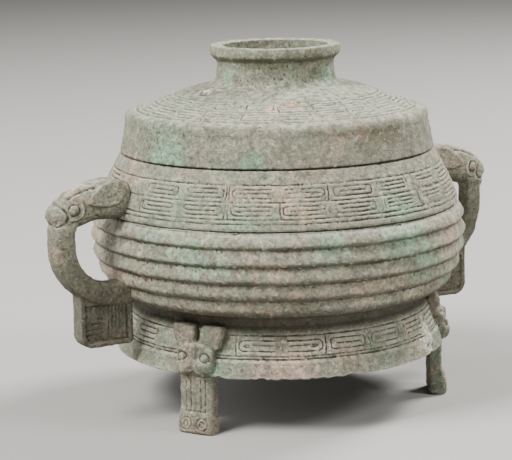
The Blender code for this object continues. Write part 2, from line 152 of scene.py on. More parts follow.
def spun(profile, columns):
    """A closed shape from (radius, height) points, which are a loop unless they start on the axis."""
    bm = bmesh.new()
    along = Matrix.Rotation(PATTERN_TURN, 4, "Z")
    points = [bm.verts.new(along @ Vector((radius, 0, height))) for radius, height in profile]
    ends = points[:1] if profile[0][0] > 0 else []
    edges = [bm.edges.new(pair) for pair in zip(points, points[1:] + ends)]
    bmesh.ops.spin(bm, geom=points + edges, cent=(0, 0, 0), axis=(0, 0, 1), angle=TURN,
                   steps=columns, use_merge=True)
    bmesh.ops.remove_doubles(bm, verts=bm.verts, dist=WELD)
    bmesh.ops.recalc_face_normals(bm, faces=bm.faces)
    return bm


def halve_columns(bm, is_inside):
    """Cuts each level edge in two where is_inside(radius, height) holds."""
    level = []
    for edge in bm.edges:
        a, b = (vert.co for vert in edge.verts)
        if abs(a.z - b.z) < WELD and abs(a.xy.length - b.xy.length) < WELD:
            if is_inside(a.xy.length, a.z):
                level.append(edge)
    bmesh.ops.subdivide_edges(bm, edges=level, cuts=1)


def rows(start, stop, pitch, lines=(), width=0):
    """Levels from start to stop: one each pitch, and four across each carved line."""
    marks = [line + width * share for line in lines for share in ACROSS_LINE]
    marks = [start] + sorted(mark for mark in marks if start < mark < stop) + [stop]
    found = []
    for a, b in zip(marks, marks[1:]):
        count = max(1, round((b - a) / pitch))
        found += [a + (b - a) * step / count for step in range(count)]
    return found + [stop]


# %% [markdown]
# ## Moving the points
#
# Relief, dents and pits are moves of the points along their normals. A Displace modifier could do some of
# them. Arrays of all points at once are as quick, and they can also follow the drawn strokes of the
# ornament and leave a record of how deep each point lies, which the dirt in the material settles by.

# %% Points and normals as arrays
UP = np.array((0, 0, 1))
SEED_STEP = 17.3


def read(mesh, what):
    """Each point's place ("co") or normal, as rows of x, y and z."""
    flat = np.empty(len(mesh.vertices) * 3)
    mesh.vertices.foreach_get(what, flat)
    return flat.reshape(-1, 3)


def push(mesh, amount):
    """Moves each point out along its normal, by metres."""
    points = read(mesh, "co") + read(mesh, "normal") * amount[:, None]
    mesh.vertices.foreach_set("co", points.ravel())
    mesh.update()


def shift(mesh, moves):
    """Moves each point by its own x, y and z."""
    mesh.vertices.foreach_set("co", (read(mesh, "co") + moves).ravel())
    mesh.update()


def lift(mesh, heights):
    shift(mesh, heights[:, None] * UP)


def mottle(points, size, seed):
    """Smooth noise at each point, from about -1 to 1, in lumps of this size."""
    places = (points / size + seed * SEED_STEP).tolist()
    return np.array([noise.noise(place) for place in places])


def ramp(values, low, high):
    """0 up to low, 1 from high, and smooth between."""
    share = np.clip((values - low) / (high - low), 0, 1)
    return share * share * (3 - 2 * share)


# %% Age a surface: dents, grain, pits and crumbs of crust
DENT_SIZE = 0.017
GRAIN_SIZE = 0.0035
PIT_SIZE = 0.0016
CRUMB_SIZE = 0.0022
PATCH_LEVELS = (-0.3, 0.4)
PIT_LEVELS = (0.18, 0.5)
PITS_LEAST = 0.3
CRUMB_LEVELS = (0.32, 0.6)
CRUMBS_LESS = 0.6


def weather(mesh, dents, grain, pits, crumbs):
    """Each amount is in metres, and how much of the surface is pitted changes from place to place."""
    points = read(mesh, "co")
    patches = ramp(mottle(points, 2 * DENT_SIZE, 1), *PATCH_LEVELS)
    amount = dents * mottle(points, DENT_SIZE, 2) + grain * mottle(points, GRAIN_SIZE, 3)
    pitted = PITS_LEAST + (1 - PITS_LEAST) * patches
    amount -= pits * ramp(mottle(points, PIT_SIZE, 4), *PIT_LEVELS) * pitted
    amount += crumbs * ramp(mottle(points, CRUMB_SIZE, 5), *CRUMB_LEVELS) * (1 - CRUMBS_LESS * patches)
    push(mesh, amount)


# %% Note where the surface is hollow
HOLLOW_UNIT = 0.0002
HOLLOW_MOST = 3
PLAIN_MOST = 0.0015
SMOOTH_ROUNDS = 7


def hollows(mesh):
    """How far each point lies under the smoothed surface, in metres."""
    pairs = np.empty(len(mesh.edges) * 2, dtype=np.int32)
    mesh.edges.foreach_get("vertices", pairs)
    a, b = pairs[0::2], pairs[1::2]
    ends, others = np.concatenate([a, b]), np.concatenate([b, a])
    count = np.bincount(ends, minlength=len(mesh.vertices))[:, None]
    points, normals = read(mesh, "co"), read(mesh, "normal")
    smooth = points.copy()
    for _ in range(SMOOTH_ROUNDS):
        total = [np.bincount(ends, smooth[others, axis], len(points)) for axis in range(3)]
        smooth = np.stack(total, axis=1) / count
    return ((smooth - points) * normals).sum(axis=1)


def note_hollows(mesh, plain, keep):
    """Stores the hollows of lines and wear, and a share of those that the plain shape had.

    Where rows lie far apart, the plain shape's value says nothing, so it is left out.
    """
    kept = keep * np.where(np.abs(plain) < PLAIN_MOST, plain, 0)
    below = (hollows(mesh) - plain + kept) / HOLLOW_UNIT
    found = mesh.attributes.new("hollow", "FLOAT", "POINT")
    found.data.foreach_set("value", np.clip(below, -HOLLOW_MOST, HOLLOW_MOST).astype(np.float32))


# %% From a shape to a mesh, and from a mesh to a piece
def to_mesh(bm, name):
    mesh = bpy.data.meshes.new(name)
    bm.to_mesh(mesh)
    bm.free()
    return mesh


def triangles(mesh):
    return sum(len(face.vertices) - 2 for face in mesh.polygons)


def finish_piece(name, mesh):
    """Makes the object of a piece, rides it on the body and counts its triangles."""
    mesh.name = name
    piece = bpy.data.objects.new(name, mesh)
    bpy.context.scene.collection.objects.link(piece)
    mesh.shade_smooth()
    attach(piece, "root")
    print(name, triangles(mesh), "triangles")
    return piece


# %% [markdown]
# ## The ornament
#
# Round the neck, the ring foot and the lid run rows of long cells: nested hooks and rounded frames, each
# with a slot in its middle. They repeat, so each cell picks one of a few motifs. A motif is a list of
# strokes in shares of the cell's half width and half height, and the groove is cut where a point is near a
# stroke.

# %% The strokes of the motifs
FRAME = ((-0.82, 0.36), (-0.72, 0.52), (0.72, 0.52), (0.82, 0.36), (0.82, -0.36), (0.72, -0.52),
         (-0.72, -0.52), (-0.82, -0.36), (-0.82, 0.36))
SLOT = ((-0.55, 0), (0.55, 0))
END_LINE = ((0.93, 0.95), (0.965, 0), (0.93, -0.95))
HOOK = ((0.55, 0), (-0.62, 0), (-0.74, 0.12), (-0.76, 0.36), (-0.66, 0.52), (0.72, 0.52), (0.83, 0.36),
        (0.83, -0.36), (0.72, -0.52), (-0.66, -0.52))
ROUND_END = ((0.72, 0.52), (-0.66, 0.52), (-0.8, 0.3), (-0.82, 0), (-0.8, -0.3), (-0.66, -0.52),
             (0.72, -0.52))
ROUND_SLOT = ((0.62, 0.04), (-0.5, 0.08), (-0.6, -0.04), (-0.5, -0.12), (-0.3, -0.12))
BRACKET = ((-0.86, 0.98), (-0.88, -0.45), (-0.8, -0.75), (-0.66, -0.82), (0.9, -0.8))
BARS = tuple(((-0.55, up), (0.7, up)) for up in (0.5, 0.05, -0.4))
SPINE = ((-0.72, 0.55), (-0.74, -0.5))
MOTIFS = {
    "hook": (HOOK, END_LINE),
    "round": (ROUND_END, ROUND_SLOT, tuple((-u, v) for u, v in END_LINE)),
    "frame": (FRAME, SLOT),
    "bars": BARS + (SPINE,),
    "bracket": (BRACKET,) + BARS[:2],
    "plain": (),
}


def flipped(motif):
    """The strokes of a motif, with left and right changed over."""
    return tuple(tuple((-u, v) for u, v in stroke) for stroke in MOTIFS[motif])


def groove(distance, width):
    """A rounded groove: 1 on its middle line, 0 from half its width away."""
    share = np.clip(2 * np.abs(distance) / width, 0, 1)
    return (1 - share * share) ** 2


def near_strokes(across, up, strokes, half_wide, half_tall):
    """How far each point is from the nearest stroke, in metres."""
    nearest = np.full(len(across), 1.0)
    for stroke in strokes:
        for start, end in zip(stroke, stroke[1:]):
            ax, ay = start[0] * half_wide, start[1] * half_tall
            dx, dy = end[0] * half_wide - ax, end[1] * half_tall - ay
            share = np.clip(((across - ax) * dx + (up - ay) * dy) / (dx * dx + dy * dy), 0, 1)
            nearest = np.minimum(nearest, np.hypot(across - ax - share * dx, up - ay - share * dy))
    return nearest


def cut_row(points, up, half_tall, motifs, width):
    """Groove share at each point for a row of cells, given its height above the row's middle."""
    turn = np.arctan2(points[:, 1], points[:, 0]) - PATTERN_TURN
    radius = np.hypot(points[:, 0], points[:, 1])
    cell = np.round(turn / CELL_ANGLE)
    across = (turn - cell * CELL_ANGLE) * radius
    cell = cell.astype(int) % CELLS
    cut = np.zeros(len(points))
    for number, motif in enumerate(motifs):
        strokes = flipped(motif[1:]) if motif.startswith("-") else MOTIFS[motif]
        here = np.flatnonzero((cell == number) & (np.abs(up) < half_tall))
        half_wide = CELL_ANGLE / 2 * radius[here].mean() if len(here) else 1
        cut[here] = groove(near_strokes(across[here], up[here], strokes, half_wide, half_tall), width)
    return cut


# %% [markdown]
# ## The neck
#
# The neck carries two rows of cells between plain lines. It is a closed ring of its own here, down to the
# first groove of the belly, because its lines need a grid of about half a millimetre and a piece has room
# for only so many triangles. The joint lies in that groove. Both pieces turn inwards there and overlap
# inside the wall, so that no light shows between them.

# %% The neck's profile
LINE_WIDE = 0.0015
LINE_DEEP = 0.00088
ROW_LINES = (0.0076, 0.0172, 0.0268)
FOOT_LINE = 0.0294
ROW_HALF = (ROW_LINES[1] - ROW_LINES[0]) / 2
ROW_SHARES = (-0.52, 0, 0.52)
EDGE = 0.0007
NECK_COLUMNS = 770
NECK_PITCH = 0.0006
FINE_DEPTHS = (0.0065, 0.0305)
LAP = 0.0014
JOINT_DEEP = 0.0009
JOINT_WIDE = 0.0022

row_middles = [line + ROW_HALF for line in ROW_LINES[:2]]
carved = [middle + share * ROW_HALF for middle in row_middles for share in ROW_SHARES]
depths = rows(EDGE, NECK_HEIGHT, NECK_PITCH, [*ROW_LINES, FOOT_LINE, *carved], LINE_WIDE)
lip_in_r = LIP_R - LIP_WALL
profile = [(lip_in_r, LIP_TOP - EDGE), (lip_in_r + EDGE, LIP_TOP), (LIP_R - EDGE, LIP_TOP),
           (LIP_R, LIP_TOP - EDGE), (LIP_R, MOUTH_Z - SEAT_GAP), (MOUTH_R - EDGE, MOUTH_Z),
           (MOUTH_R - 0.3 * EDGE, MOUTH_Z - 0.3 * EDGE)]
profile += [(neck_radius(depth), MOUTH_Z - depth) for depth in depths]
profile += [(NECK_END_R - LAP, NECK_END_Z - LAP), (NECK_END_R - WALL, NECK_END_Z - LAP)]
profile.append((neck_radius(NECK_HEIGHT / 2) - WALL, MOUTH_Z - NECK_HEIGHT / 2))
profile.append((lip_in_r, MOUTH_Z))
neck = spun(profile, NECK_COLUMNS)
halve_columns(neck, lambda r, z: r > LIP_R + WALL / 2 and FINE_DEPTHS[0] < MOUTH_Z - z < FINE_DEPTHS[1])
print(len(depths), "rows down the neck")

# %% Its lines, and how they wander and wear
UPPER_ROW = ["plain", "frame", "-hook", "round", "hook", "-bars", "round", "frame", "hook", "-bracket",
             "-hook", "plain", "frame", "hook", "round", "-round", "frame", "-bars", "bracket", "frame",
             "hook", "round"]
LOWER_ROW = ["plain", "hook", "-round", "frame", "-bars", "hook", "frame", "-hook", "round", "bars",
             "frame", "plain", "-hook", "hook", "round", "-hook", "frame", "bars", "bracket", "-hook",
             "round", "frame"]
WANDER = 0.00035
WANDER_SIZE = 0.011
WANDER_FROM = (0.003, 0.007)
WANDER_TO = (0.030, 0.033)
WEAR_SIZE = 0.009
WEAR_GRAIN = 0.0032


def wander(mesh, points, share):
    """Moves points along the surface, as a hand-cut line strays, where share is above 0."""
    radius = np.hypot(points[:, 0], points[:, 1])[:, None]
    around = np.stack([-points[:, 1], points[:, 0], 0 * points[:, 0]], axis=1) / np.maximum(radius, WELD)
    sideways = (WANDER * share * mottle(points, WANDER_SIZE, 6))[:, None] * around
    upwards = (WANDER * share * mottle(points, WANDER_SIZE, 7))[:, None] * UP
    shift(mesh, sideways + upwards)


def worn(points, least):
    """How much of a line's depth is left, from least to 1."""
    broad = ramp(mottle(points, WEAR_SIZE, 8), -0.35, 0.2)
    return least + (1 - least) * broad * (0.4 + 0.6 * ramp(mottle(points, WEAR_GRAIN, 15), -0.4, 0.1))


mesh = to_mesh(neck, "neck")
points = read(mesh, "co")
plain = hollows(mesh)
outside = np.hypot(points[:, 0], points[:, 1]) > LIP_R + WALL / 2
depth = MOUTH_Z - points[:, 2]
cut = np.zeros(len(points))
for middle, motifs in zip(row_middles, (UPPER_ROW, LOWER_ROW)):
    cut = np.maximum(cut, cut_row(points, middle - depth, ROW_HALF, motifs, LINE_WIDE))
for line in (*ROW_LINES, FOOT_LINE):
    cut = np.maximum(cut, groove(depth - line, LINE_WIDE))
in_band = ramp(depth, *WANDER_FROM) * (1 - ramp(depth, *WANDER_TO)) * outside
push(mesh, -LINE_DEEP * cut * outside * worn(points, 0.45))
wander(mesh, points, in_band)
weather(mesh, dents=0.00022, grain=0.00016, pits=0.00030, crumbs=0.00030)
push(mesh, -JOINT_DEEP * outside * ramp(depth, NECK_HEIGHT - JOINT_WIDE, NECK_HEIGHT))
note_hollows(mesh, plain, keep=0.1)
neck_piece = finish_piece("neck", mesh)

# %% [markdown]
# ## The belly
#
# Five ridges ring the belly like courses of roof tiles. Each swells out slowly from a groove, stands out
# most two thirds of the way down and turns in quickly. A sine of a power of the way down gives that lean,
# and the lower ridges are fuller. Dents and lumps keep them from looking machined. The bowl is hollow and
# open under the lid, with an even wall.

# %% The belly's profile, inside and out
BELLY_COLUMNS = 770
RIDGE_ROWS = 14
TUCK_STEPS = 6
TUCK_EASE = 0.8
BOWL_FLOOR_RADII = (0, 0.03, 0.062)
BOWL_BEND_R = 0.08
BOWL_BEND_RISE = 0.0030
INSIDE_SHARES = (0.9, 0.75, 0.6, 0.45, 0.3, 0.15, 0)
UNDERSIDE_RADII = (RING_TOP_R - 0.7 * WALL, 0.05, 0)

pitch = RIDGES_HEIGHT / RIDGES
outside_line = [(NECK_END_R - LAP, NECK_END_Z + LAP)]
for number in range(RIDGES):
    for step in range(RIDGE_ROWS):
        share = (1 - math.cos(math.pi * step / RIDGE_ROWS)) / 2
        depth = NECK_HEIGHT + (number + share) * pitch
        bulge = RIDGE_BULGE * math.sin(math.pi * share ** RIDGE_LEAN) ** RIDGE_FULLNESS[number]
        outside_line.append((groove_radius(depth) + bulge, MOUTH_Z - depth))
for step in range(TUCK_STEPS + 1):
    angle = math.pi / 2 * step / TUCK_STEPS
    outside_line.append((UNDER_R - (UNDER_R - RING_TOP_R) * math.sin(angle) ** TUCK_EASE,
                         RING_TOP_Z + TUCK_HEIGHT * math.cos(angle)))
inner_floor = FLOOR_Z + WALL
inside_line = [(radius, inner_floor) for radius in BOWL_FLOOR_RADII]
inside_line += [(BOWL_BEND_R, inner_floor + BOWL_BEND_RISE), (RING_TOP_R - WALL, UNDER_Z)]
for share in INSIDE_SHARES:
    depth = NECK_HEIGHT + share * RIDGES_HEIGHT
    inside_line.append((groove_radius(depth) - WALL, MOUTH_Z - depth))
under_line = [(radius, FLOOR_Z) for radius in UNDERSIDE_RADII]
belly = spun(inside_line + outside_line + under_line, BELLY_COLUMNS)
print(len(outside_line), "rows down the belly")

# %% Dents in the ridges
SWAY = 0.0004
SWAY_SIZE = 0.016
LUMPS = 0.0003
LUMP_SIZE = 0.012
RIDGES_SUNK = 0.0005

mesh = to_mesh(belly, "belly")
points = read(mesh, "co")
plain = hollows(mesh)
radius = np.hypot(points[:, 0], points[:, 1])
on_ridges = ramp(points[:, 2], UNDER_Z - 0.002, UNDER_Z + 0.003) * (radius > UNDER_R - 0.001)
near_joint = ramp(points[:, 2], NECK_END_Z - 0.002, NECK_END_Z) * (radius > NECK_END_R - WALL / 2)
lift(mesh, SWAY * mottle(points * (0.5, 0.5, 1), SWAY_SIZE, 9) * on_ridges)
push(mesh, on_ridges * (LUMPS * mottle(points, LUMP_SIZE, 10) - RIDGES_SUNK))
weather(mesh, dents=0.00026, grain=0.00016, pits=0.00034, crumbs=0.00038)
push(mesh, -JOINT_DEEP * near_joint)
note_hollows(mesh, plain, keep=0.30)
belly_piece = finish_piece("belly", mesh)

# %% [markdown]
# ## The ring foot
#
# Under the belly the foot spreads in a cone, with one row of cells between two lines, a third line, a bead
# and a flange whose lower edge is chipped. It reaches a little way up into the bowl's metal, so no light
# shows at the joint.

# %% Its profile
RING_COLUMNS = 660
RING_LINES = (0.0614, 0.0494)
RING_FOOT_LINE = 0.0477
RING_MIDDLE = sum(RING_LINES) / 2
RING_HALF = (RING_LINES[0] - RING_LINES[1]) / 2
BEAD_Z = 0.0458
BEAD_HALF = 0.0013
BEAD_PROUD = 0.0009
FLANGE_PROUD = 0.0006
RING_PITCH = 0.0008
RING_INSIDE_HEIGHTS = (RING_Z + EDGE, 0.044, 0.052, 0.060)
RING_FINE_HEIGHTS = (0.0465, 0.0625)
RING_REACH = 0.0016
RING_SLACK = 0.0004

ring_carved = [RING_MIDDLE + share * RING_HALF for share in ROW_SHARES]
heights = rows(RING_Z + EDGE, RING_TOP_Z, RING_PITCH, [*RING_LINES, RING_FOOT_LINE, *ring_carved], LINE_WIDE)


def flange(height):
    """How far the bead and the flange below it stand out."""
    bead = BEAD_PROUD * max(0, 1 - ((height - BEAD_Z) / BEAD_HALF) ** 2)
    return max(bead, FLANGE_PROUD if height < BEAD_Z else 0)


profile = [(RING_TOP_R - RING_SLACK, RING_TOP_Z + RING_REACH)]
profile += [(ring_radius(height) + flange(height), height) for height in reversed(heights)]
profile += [(ring_radius(RING_Z) - EDGE, RING_Z), (ring_radius(RING_Z) - WALL + EDGE, RING_Z)]
profile += [(ring_radius(height) - WALL, height) for height in RING_INSIDE_HEIGHTS]
profile.append((RING_TOP_R - WALL, RING_TOP_Z + RING_REACH))
ring = spun(profile, RING_COLUMNS)
low_fine, high_fine = RING_FINE_HEIGHTS
halve_columns(ring, lambda r, z: low_fine < z < high_fine and r > ring_radius(z) - WALL / 2)
print(len(heights), "rows down the ring foot")

# %% Its ornament, crust and chipped edge
RING_ROW = ["-round", "frame", "hook", "round", "-hook", "plain", "plain", "hook", "round", "-bars", "frame",
            "-hook", "plain", "plain", "round", "-round", "frame", "round", "bars", "-hook", "plain", "hook"]
CRUST_TURN = math.radians(305)
CRUST_Z = 0.0475
CRUST_PROUD = 0.0026
CRUST_REACH = (0.0015, 0.0075)
CHIP_DEEP = 0.0010
CHIP_SIZE = 0.0065
CHIP_GRAIN = 0.0028
CHIPPED_HEIGHT = 0.004

mesh = to_mesh(ring, "ring_foot")
points = read(mesh, "co")
plain = hollows(mesh)
radius = np.hypot(points[:, 0], points[:, 1])
slope = RING_TOP_R + RING_FLARE * (RING_TOP_Z - points[:, 2]) / RING_HEIGHT
outside = radius > slope - WALL / 2
cut = cut_row(points, points[:, 2] - RING_MIDDLE, RING_HALF, RING_ROW, LINE_WIDE)
for line in (*RING_LINES, RING_FOOT_LINE):
    cut = np.maximum(cut, groove(points[:, 2] - line, LINE_WIDE))
push(mesh, -LINE_DEEP * cut * outside * worn(points, 0.5))
wander(mesh, points, ramp(points[:, 2], 0.044, 0.048) * outside)
near_edge = 1 - ramp(points[:, 2], RING_Z, RING_Z + CHIPPED_HEIGHT)
chips = ramp(mottle(points, CHIP_SIZE, 11), 0.05, 0.5) + 0.5 * ramp(mottle(points, CHIP_GRAIN, 14), 0, 0.5)
lift(mesh, CHIP_DEEP * near_edge * chips)
crust_r = ring_radius(CRUST_Z)
crust_at = np.array((crust_r * math.cos(CRUST_TURN), crust_r * math.sin(CRUST_TURN), CRUST_Z))
away = np.linalg.norm((points - crust_at) * (1, 1, 0.8), axis=1)
lump = (1 - ramp(away, *CRUST_REACH)) * (0.75 + 0.6 * mottle(points, CHIP_GRAIN, 12)) * outside
push(mesh, CRUST_PROUD * lump)
weather(mesh, dents=0.00022, grain=0.00018, pits=0.00030, crumbs=0.00035)
note_hollows(mesh, plain, keep=0.3)
ring_piece = finish_piece("ring_foot", mesh)

# %% [markdown]
# ## The lid
#
# A smooth skirt, a rounded shoulder, and a low dome with two worn rows of cells. The ring on top is both
# handle and, with the lid upside down, a foot. It is hollow like a cup. One spin makes all of it, and only
# the carved part of the dome gets the fine columns.

# %% The lid's sizes and its dome
SKIRT_HEIGHT = 0.0205
SKIRT_LEAN = 0.0036
SHOULDER_R = MOUTH_R - SKIRT_LEAN
SHOULDER_WIDE = 0.0049
SHOULDER_RISE = 0.0057
DOME_EDGE_R = SHOULDER_R - SHOULDER_WIDE
DOME_EDGE_Z = LID_Z + SKIRT_HEIGHT + SHOULDER_RISE
DOME_RISE = 0.0150
DOME_EASE = 1.25
DOME_TOP_Z = DOME_EDGE_Z + DOME_RISE
KNOB_R = 0.0375
CUP_R = 0.0333
RIM_R = 0.0413
KNOB_FOOT_R = 0.0460
LIP_GAP = 0.0004
LID_EDGE = 0.0006
LID_COLUMNS = 416
LID_LINES = (0.0650, 0.0770, 0.0888)


def dome_height(radius):
    share = max((radius - KNOB_FOOT_R) / (DOME_EDGE_R - KNOB_FOOT_R), 0)
    return DOME_TOP_Z - DOME_RISE * share ** DOME_EASE


# %% The knob's outline, from the middle of its cup over the rim and down to the dome
def arc(centre, radii, start, stop, steps):
    """Points on part of an ellipse, between two angles in degrees."""
    angles = [math.radians(start + (stop - start) * step / steps) for step in range(steps + 1)]
    return [(centre[0] + radii[0] * math.cos(a), centre[1] + radii[1] * math.sin(a)) for a in angles]


def finer(points, pitch):
    """The same line, with points added where two are further apart than the pitch."""
    found = [points[0]]
    for a, b in zip(points, points[1:]):
        count = max(1, math.ceil(math.dist(a, b) / pitch))
        for step in range(1, count + 1):
            found.append((a[0] + (b[0] - a[0]) * step / count, a[1] + (b[1] - a[1]) * step / count))
    return found


RIM_BAND = 0.0052
RIM_UNDER = 0.0048
RIM_UNDER_STEPS = 6
CUP_ROUND = 0.003
CUP_EDGE_DROP = 0.0016
CUP_EDGE_ROUND = (0.0009, 0.0006)
RIM_TOP = ((0.0030, 0.0005), (0.0048, 0.0002))
RIM_ROUND = (0.0012, 0.0013)
RIM_BELLY = (0.0002, 0.0030)
WAIST = ((0.0005, 0.0025), (0.0003, 0.0050))
FOOT_ROUND_TALL = 0.0066
KNOB_PITCH = 0.0016

knob = [(0, DOME_TOP_Z), (CUP_ROUND, DOME_TOP_Z)]
knob += arc((CUP_R - CUP_ROUND, DOME_TOP_Z + CUP_ROUND), (CUP_ROUND, CUP_ROUND), -90, 0, 4)
knob.append((CUP_R + 0.0001, LID_TOP - CUP_EDGE_DROP))
knob += arc((CUP_R + CUP_EDGE_ROUND[0], LID_TOP - CUP_EDGE_ROUND[0]), CUP_EDGE_ROUND, 180, 90, 3)
knob += [(CUP_R + out, LID_TOP - down) for out, down in RIM_TOP]
knob += arc((RIM_R - RIM_ROUND[0], LID_TOP - RIM_ROUND[1]), RIM_ROUND, 90, 0, 4)
rim_foot_z = LID_TOP - RIM_BAND
waist_z = rim_foot_z - RIM_UNDER
knob += [(RIM_R + RIM_BELLY[0], LID_TOP - RIM_BELLY[1]), (RIM_R, rim_foot_z)]
for step in range(1, RIM_UNDER_STEPS + 1):
    share = step / RIM_UNDER_STEPS
    ease = share * share * (3 - 2 * share)
    knob.append((RIM_R - (RIM_R - KNOB_R) * ease, rim_foot_z - RIM_UNDER * share))
knob += [(KNOB_R - inwards, waist_z - down) for inwards, down in WAIST]
foot_round = (KNOB_FOOT_R - KNOB_R, FOOT_ROUND_TALL)
knob += arc((KNOB_FOOT_R, DOME_TOP_Z + FOOT_ROUND_TALL), foot_round, 180, 270, 7)[1:]
knob = knob[:1] + finer(knob[1:], KNOB_PITCH)
print("knob from", round(DOME_TOP_Z, 4), "to", round(LID_TOP, 4))

# %% The rest of the lid, and the spin
LID_HALF = (LID_LINES[1] - LID_LINES[0]) / 2
CARVED_FROM_R = 0.0640
SMOOTH_PITCH = 0.0011
CARVED_PITCH = 0.0007
SHOULDER_DROP = 0.0016
SKIRT_ROWS = 25
DOME_INSIDE_R = 0.070

lid_middles = [line + LID_HALF for line in LID_LINES[:2]]
lid_carved = [middle + share * LID_HALF for middle in lid_middles for share in ROW_SHARES]
smooth_rows = rows(KNOB_FOOT_R, CARVED_FROM_R, SMOOTH_PITCH)
carved_rows = rows(CARVED_FROM_R, DOME_EDGE_R, CARVED_PITCH, [*LID_LINES, *lid_carved], LINE_WIDE)
profile = list(knob)
profile += [(radius, dome_height(radius)) for radius in (smooth_rows[1:-1] + carved_rows)]
shoulder_z = LID_Z + SKIRT_HEIGHT
profile += arc((DOME_EDGE_R, shoulder_z), (SHOULDER_WIDE + 0.0003, SHOULDER_RISE), 80, 5, 9)
skirt_top = shoulder_z - SHOULDER_DROP
skirt_foot = LID_Z + LID_EDGE + EDGE
profile += [(SHOULDER_R + 0.0002, shoulder_z - 0.0006), (SHOULDER_R + 0.0001, skirt_top)]
for step in range(1, SKIRT_ROWS + 1):
    share = step / SKIRT_ROWS
    profile.append((SHOULDER_R + SKIRT_LEAN * share, skirt_top + (skirt_foot - skirt_top) * share))
profile += [(MOUTH_R - 0.0003, skirt_foot - 0.0005), (MOUTH_R - EDGE, skirt_foot - EDGE)]
inside_r, ceiling_z = LIP_R + LIP_GAP, DOME_TOP_Z - WALL
profile += [(inside_r + 0.0004, skirt_foot - EDGE), (inside_r, LID_Z + 0.0015), (inside_r, LIP_TOP + WALL),
            (DOME_EDGE_R - WALL, DOME_EDGE_Z - WALL), (DOME_INSIDE_R, dome_height(DOME_INSIDE_R) - WALL),
            (KNOB_R, ceiling_z), (0.012, ceiling_z), (0, ceiling_z)]
lid = spun(profile, LID_COLUMNS)
halve_columns(lid, lambda r, z: 0.0642 < r < DOME_EDGE_R - 0.0004 and z > dome_height(r) - WALL / 2)
print(len(profile), "points in the lid's section")

# %% Its worn rows, and the scar by the knob
LID_OUTER = ["frame", "round", "-hook", "bars", "hook", "frame", "-round", "hook", "round", "bars", "-hook",
             "frame", "hook", "round", "frame", "-bars", "hook", "round", "-hook", "frame", "round", "-hook"]
LID_INNER = LID_OUTER[5:] + LID_OUTER[:5]
SCAR_TURN = math.radians(186.6)
SCAR_R = 0.0528
SCAR_PROUD = 0.0020
SCAR_REACH = (0.001, 0.0062)
SCAR_GRAIN = 0.0030

mesh = to_mesh(lid, "lid_cover")
points = read(mesh, "co")
plain = hollows(mesh)
radius = np.hypot(points[:, 0], points[:, 1])
on_top = read(mesh, "normal")[:, 2] > 0.5
cut = np.zeros(len(points))
for middle, motifs in zip(lid_middles, (LID_INNER, LID_OUTER)):
    cut = np.maximum(cut, cut_row(points, middle - radius, LID_HALF, motifs, LINE_WIDE))
for line in LID_LINES:
    cut = np.maximum(cut, groove(radius - line, LINE_WIDE))
push(mesh, -LINE_DEEP * cut * on_top * worn(points, 0.35))
wander(mesh, points, on_top * ramp(radius, 0.060, 0.066) * (1 - ramp(radius, 0.089, 0.091)))
scar_at = np.array((SCAR_R * math.cos(SCAR_TURN), SCAR_R * math.sin(SCAR_TURN), DOME_TOP_Z))
away = np.linalg.norm((points - scar_at) * (1, 0.55, 1), axis=1)
lump = (1 - ramp(away, *SCAR_REACH)) * (0.6 + 1.1 * mottle(points, SCAR_GRAIN, 13)) * (radius > KNOB_R)
push(mesh, SCAR_PROUD * lump)
weather(mesh, dents=0.00018, grain=0.00018, pits=0.00034, crumbs=0.00034)
note_hollows(mesh, plain, keep=0.1)
lid_piece = finish_piece("lid_cover", mesh)

# %% [markdown]
# ## Cast-on parts: sections, and one skin over all
#
# A handle is a head, a bar, two ears and a tab that flow into each other, as they did in the wax or clay of
# the model. Each form is made simply, from rings of points bridged along a path, and a voxel Remesh then
# gives one closed skin over all of them. Booleans would keep hard creases where the real thing has none.

# %% Rings bridged along a path
VOXEL = 0.00056
SOFTENINGS = 3


def ring_at(bm, centre, thick_way, wide_way, thick, wide, square, sides=28):
    """A ring of edges round a point. square is 2 for an ellipse, and more for a rounded box."""
    made = bmesh.ops.create_circle(bm, segments=sides, radius=1)
    for vert in made["verts"]:
        u, v = (math.copysign(abs(c) ** (2 / square), c) for c in vert.co.xy)
        vert.co = centre + thick_way * (u * thick) + wide_way * (v * wide)
    return list({edge for vert in made["verts"] for edge in vert.link_edges})


def bridged(bm, stations):
    """A closed bar through stations of (x, z, half thickness, half width, squareness) in the XZ plane."""
    spots = [Vector((station[0], 0, station[1])) for station in stations]
    across = Vector((0, 1, 0))
    loops = []
    for number, (spot, station) in enumerate(zip(spots, stations)):
        ahead = spots[min(number + 1, len(spots) - 1)] - spots[max(number - 1, 0)]
        loops.append(ring_at(bm, spot, ahead.normalized().cross(across), across, *station[2:]))
    for first, second in zip(loops, loops[1:]):
        bmesh.ops.bridge_loops(bm, edges=first + second)
    for loop in (loops[0], loops[-1]):
        bmesh.ops.contextual_create(bm, geom=loop)


def flowing(stations, steps):
    """More stations on a smooth curve through the given ones."""
    made = []
    last = len(stations) - 1
    for number in range(last):
        a, b, c, d = (np.array(stations[min(max(number + k, 0), last)], float) for k in (-1, 0, 1, 2))
        for step in range(steps):
            t = step / steps
            made.append(tuple(b + 0.5 * t * (c - a + t * (2 * a - 5 * b + 4 * c - d
                                                          + t * (3 * (b - c) + d - a)))))
    return made + [tuple(stations[-1])]


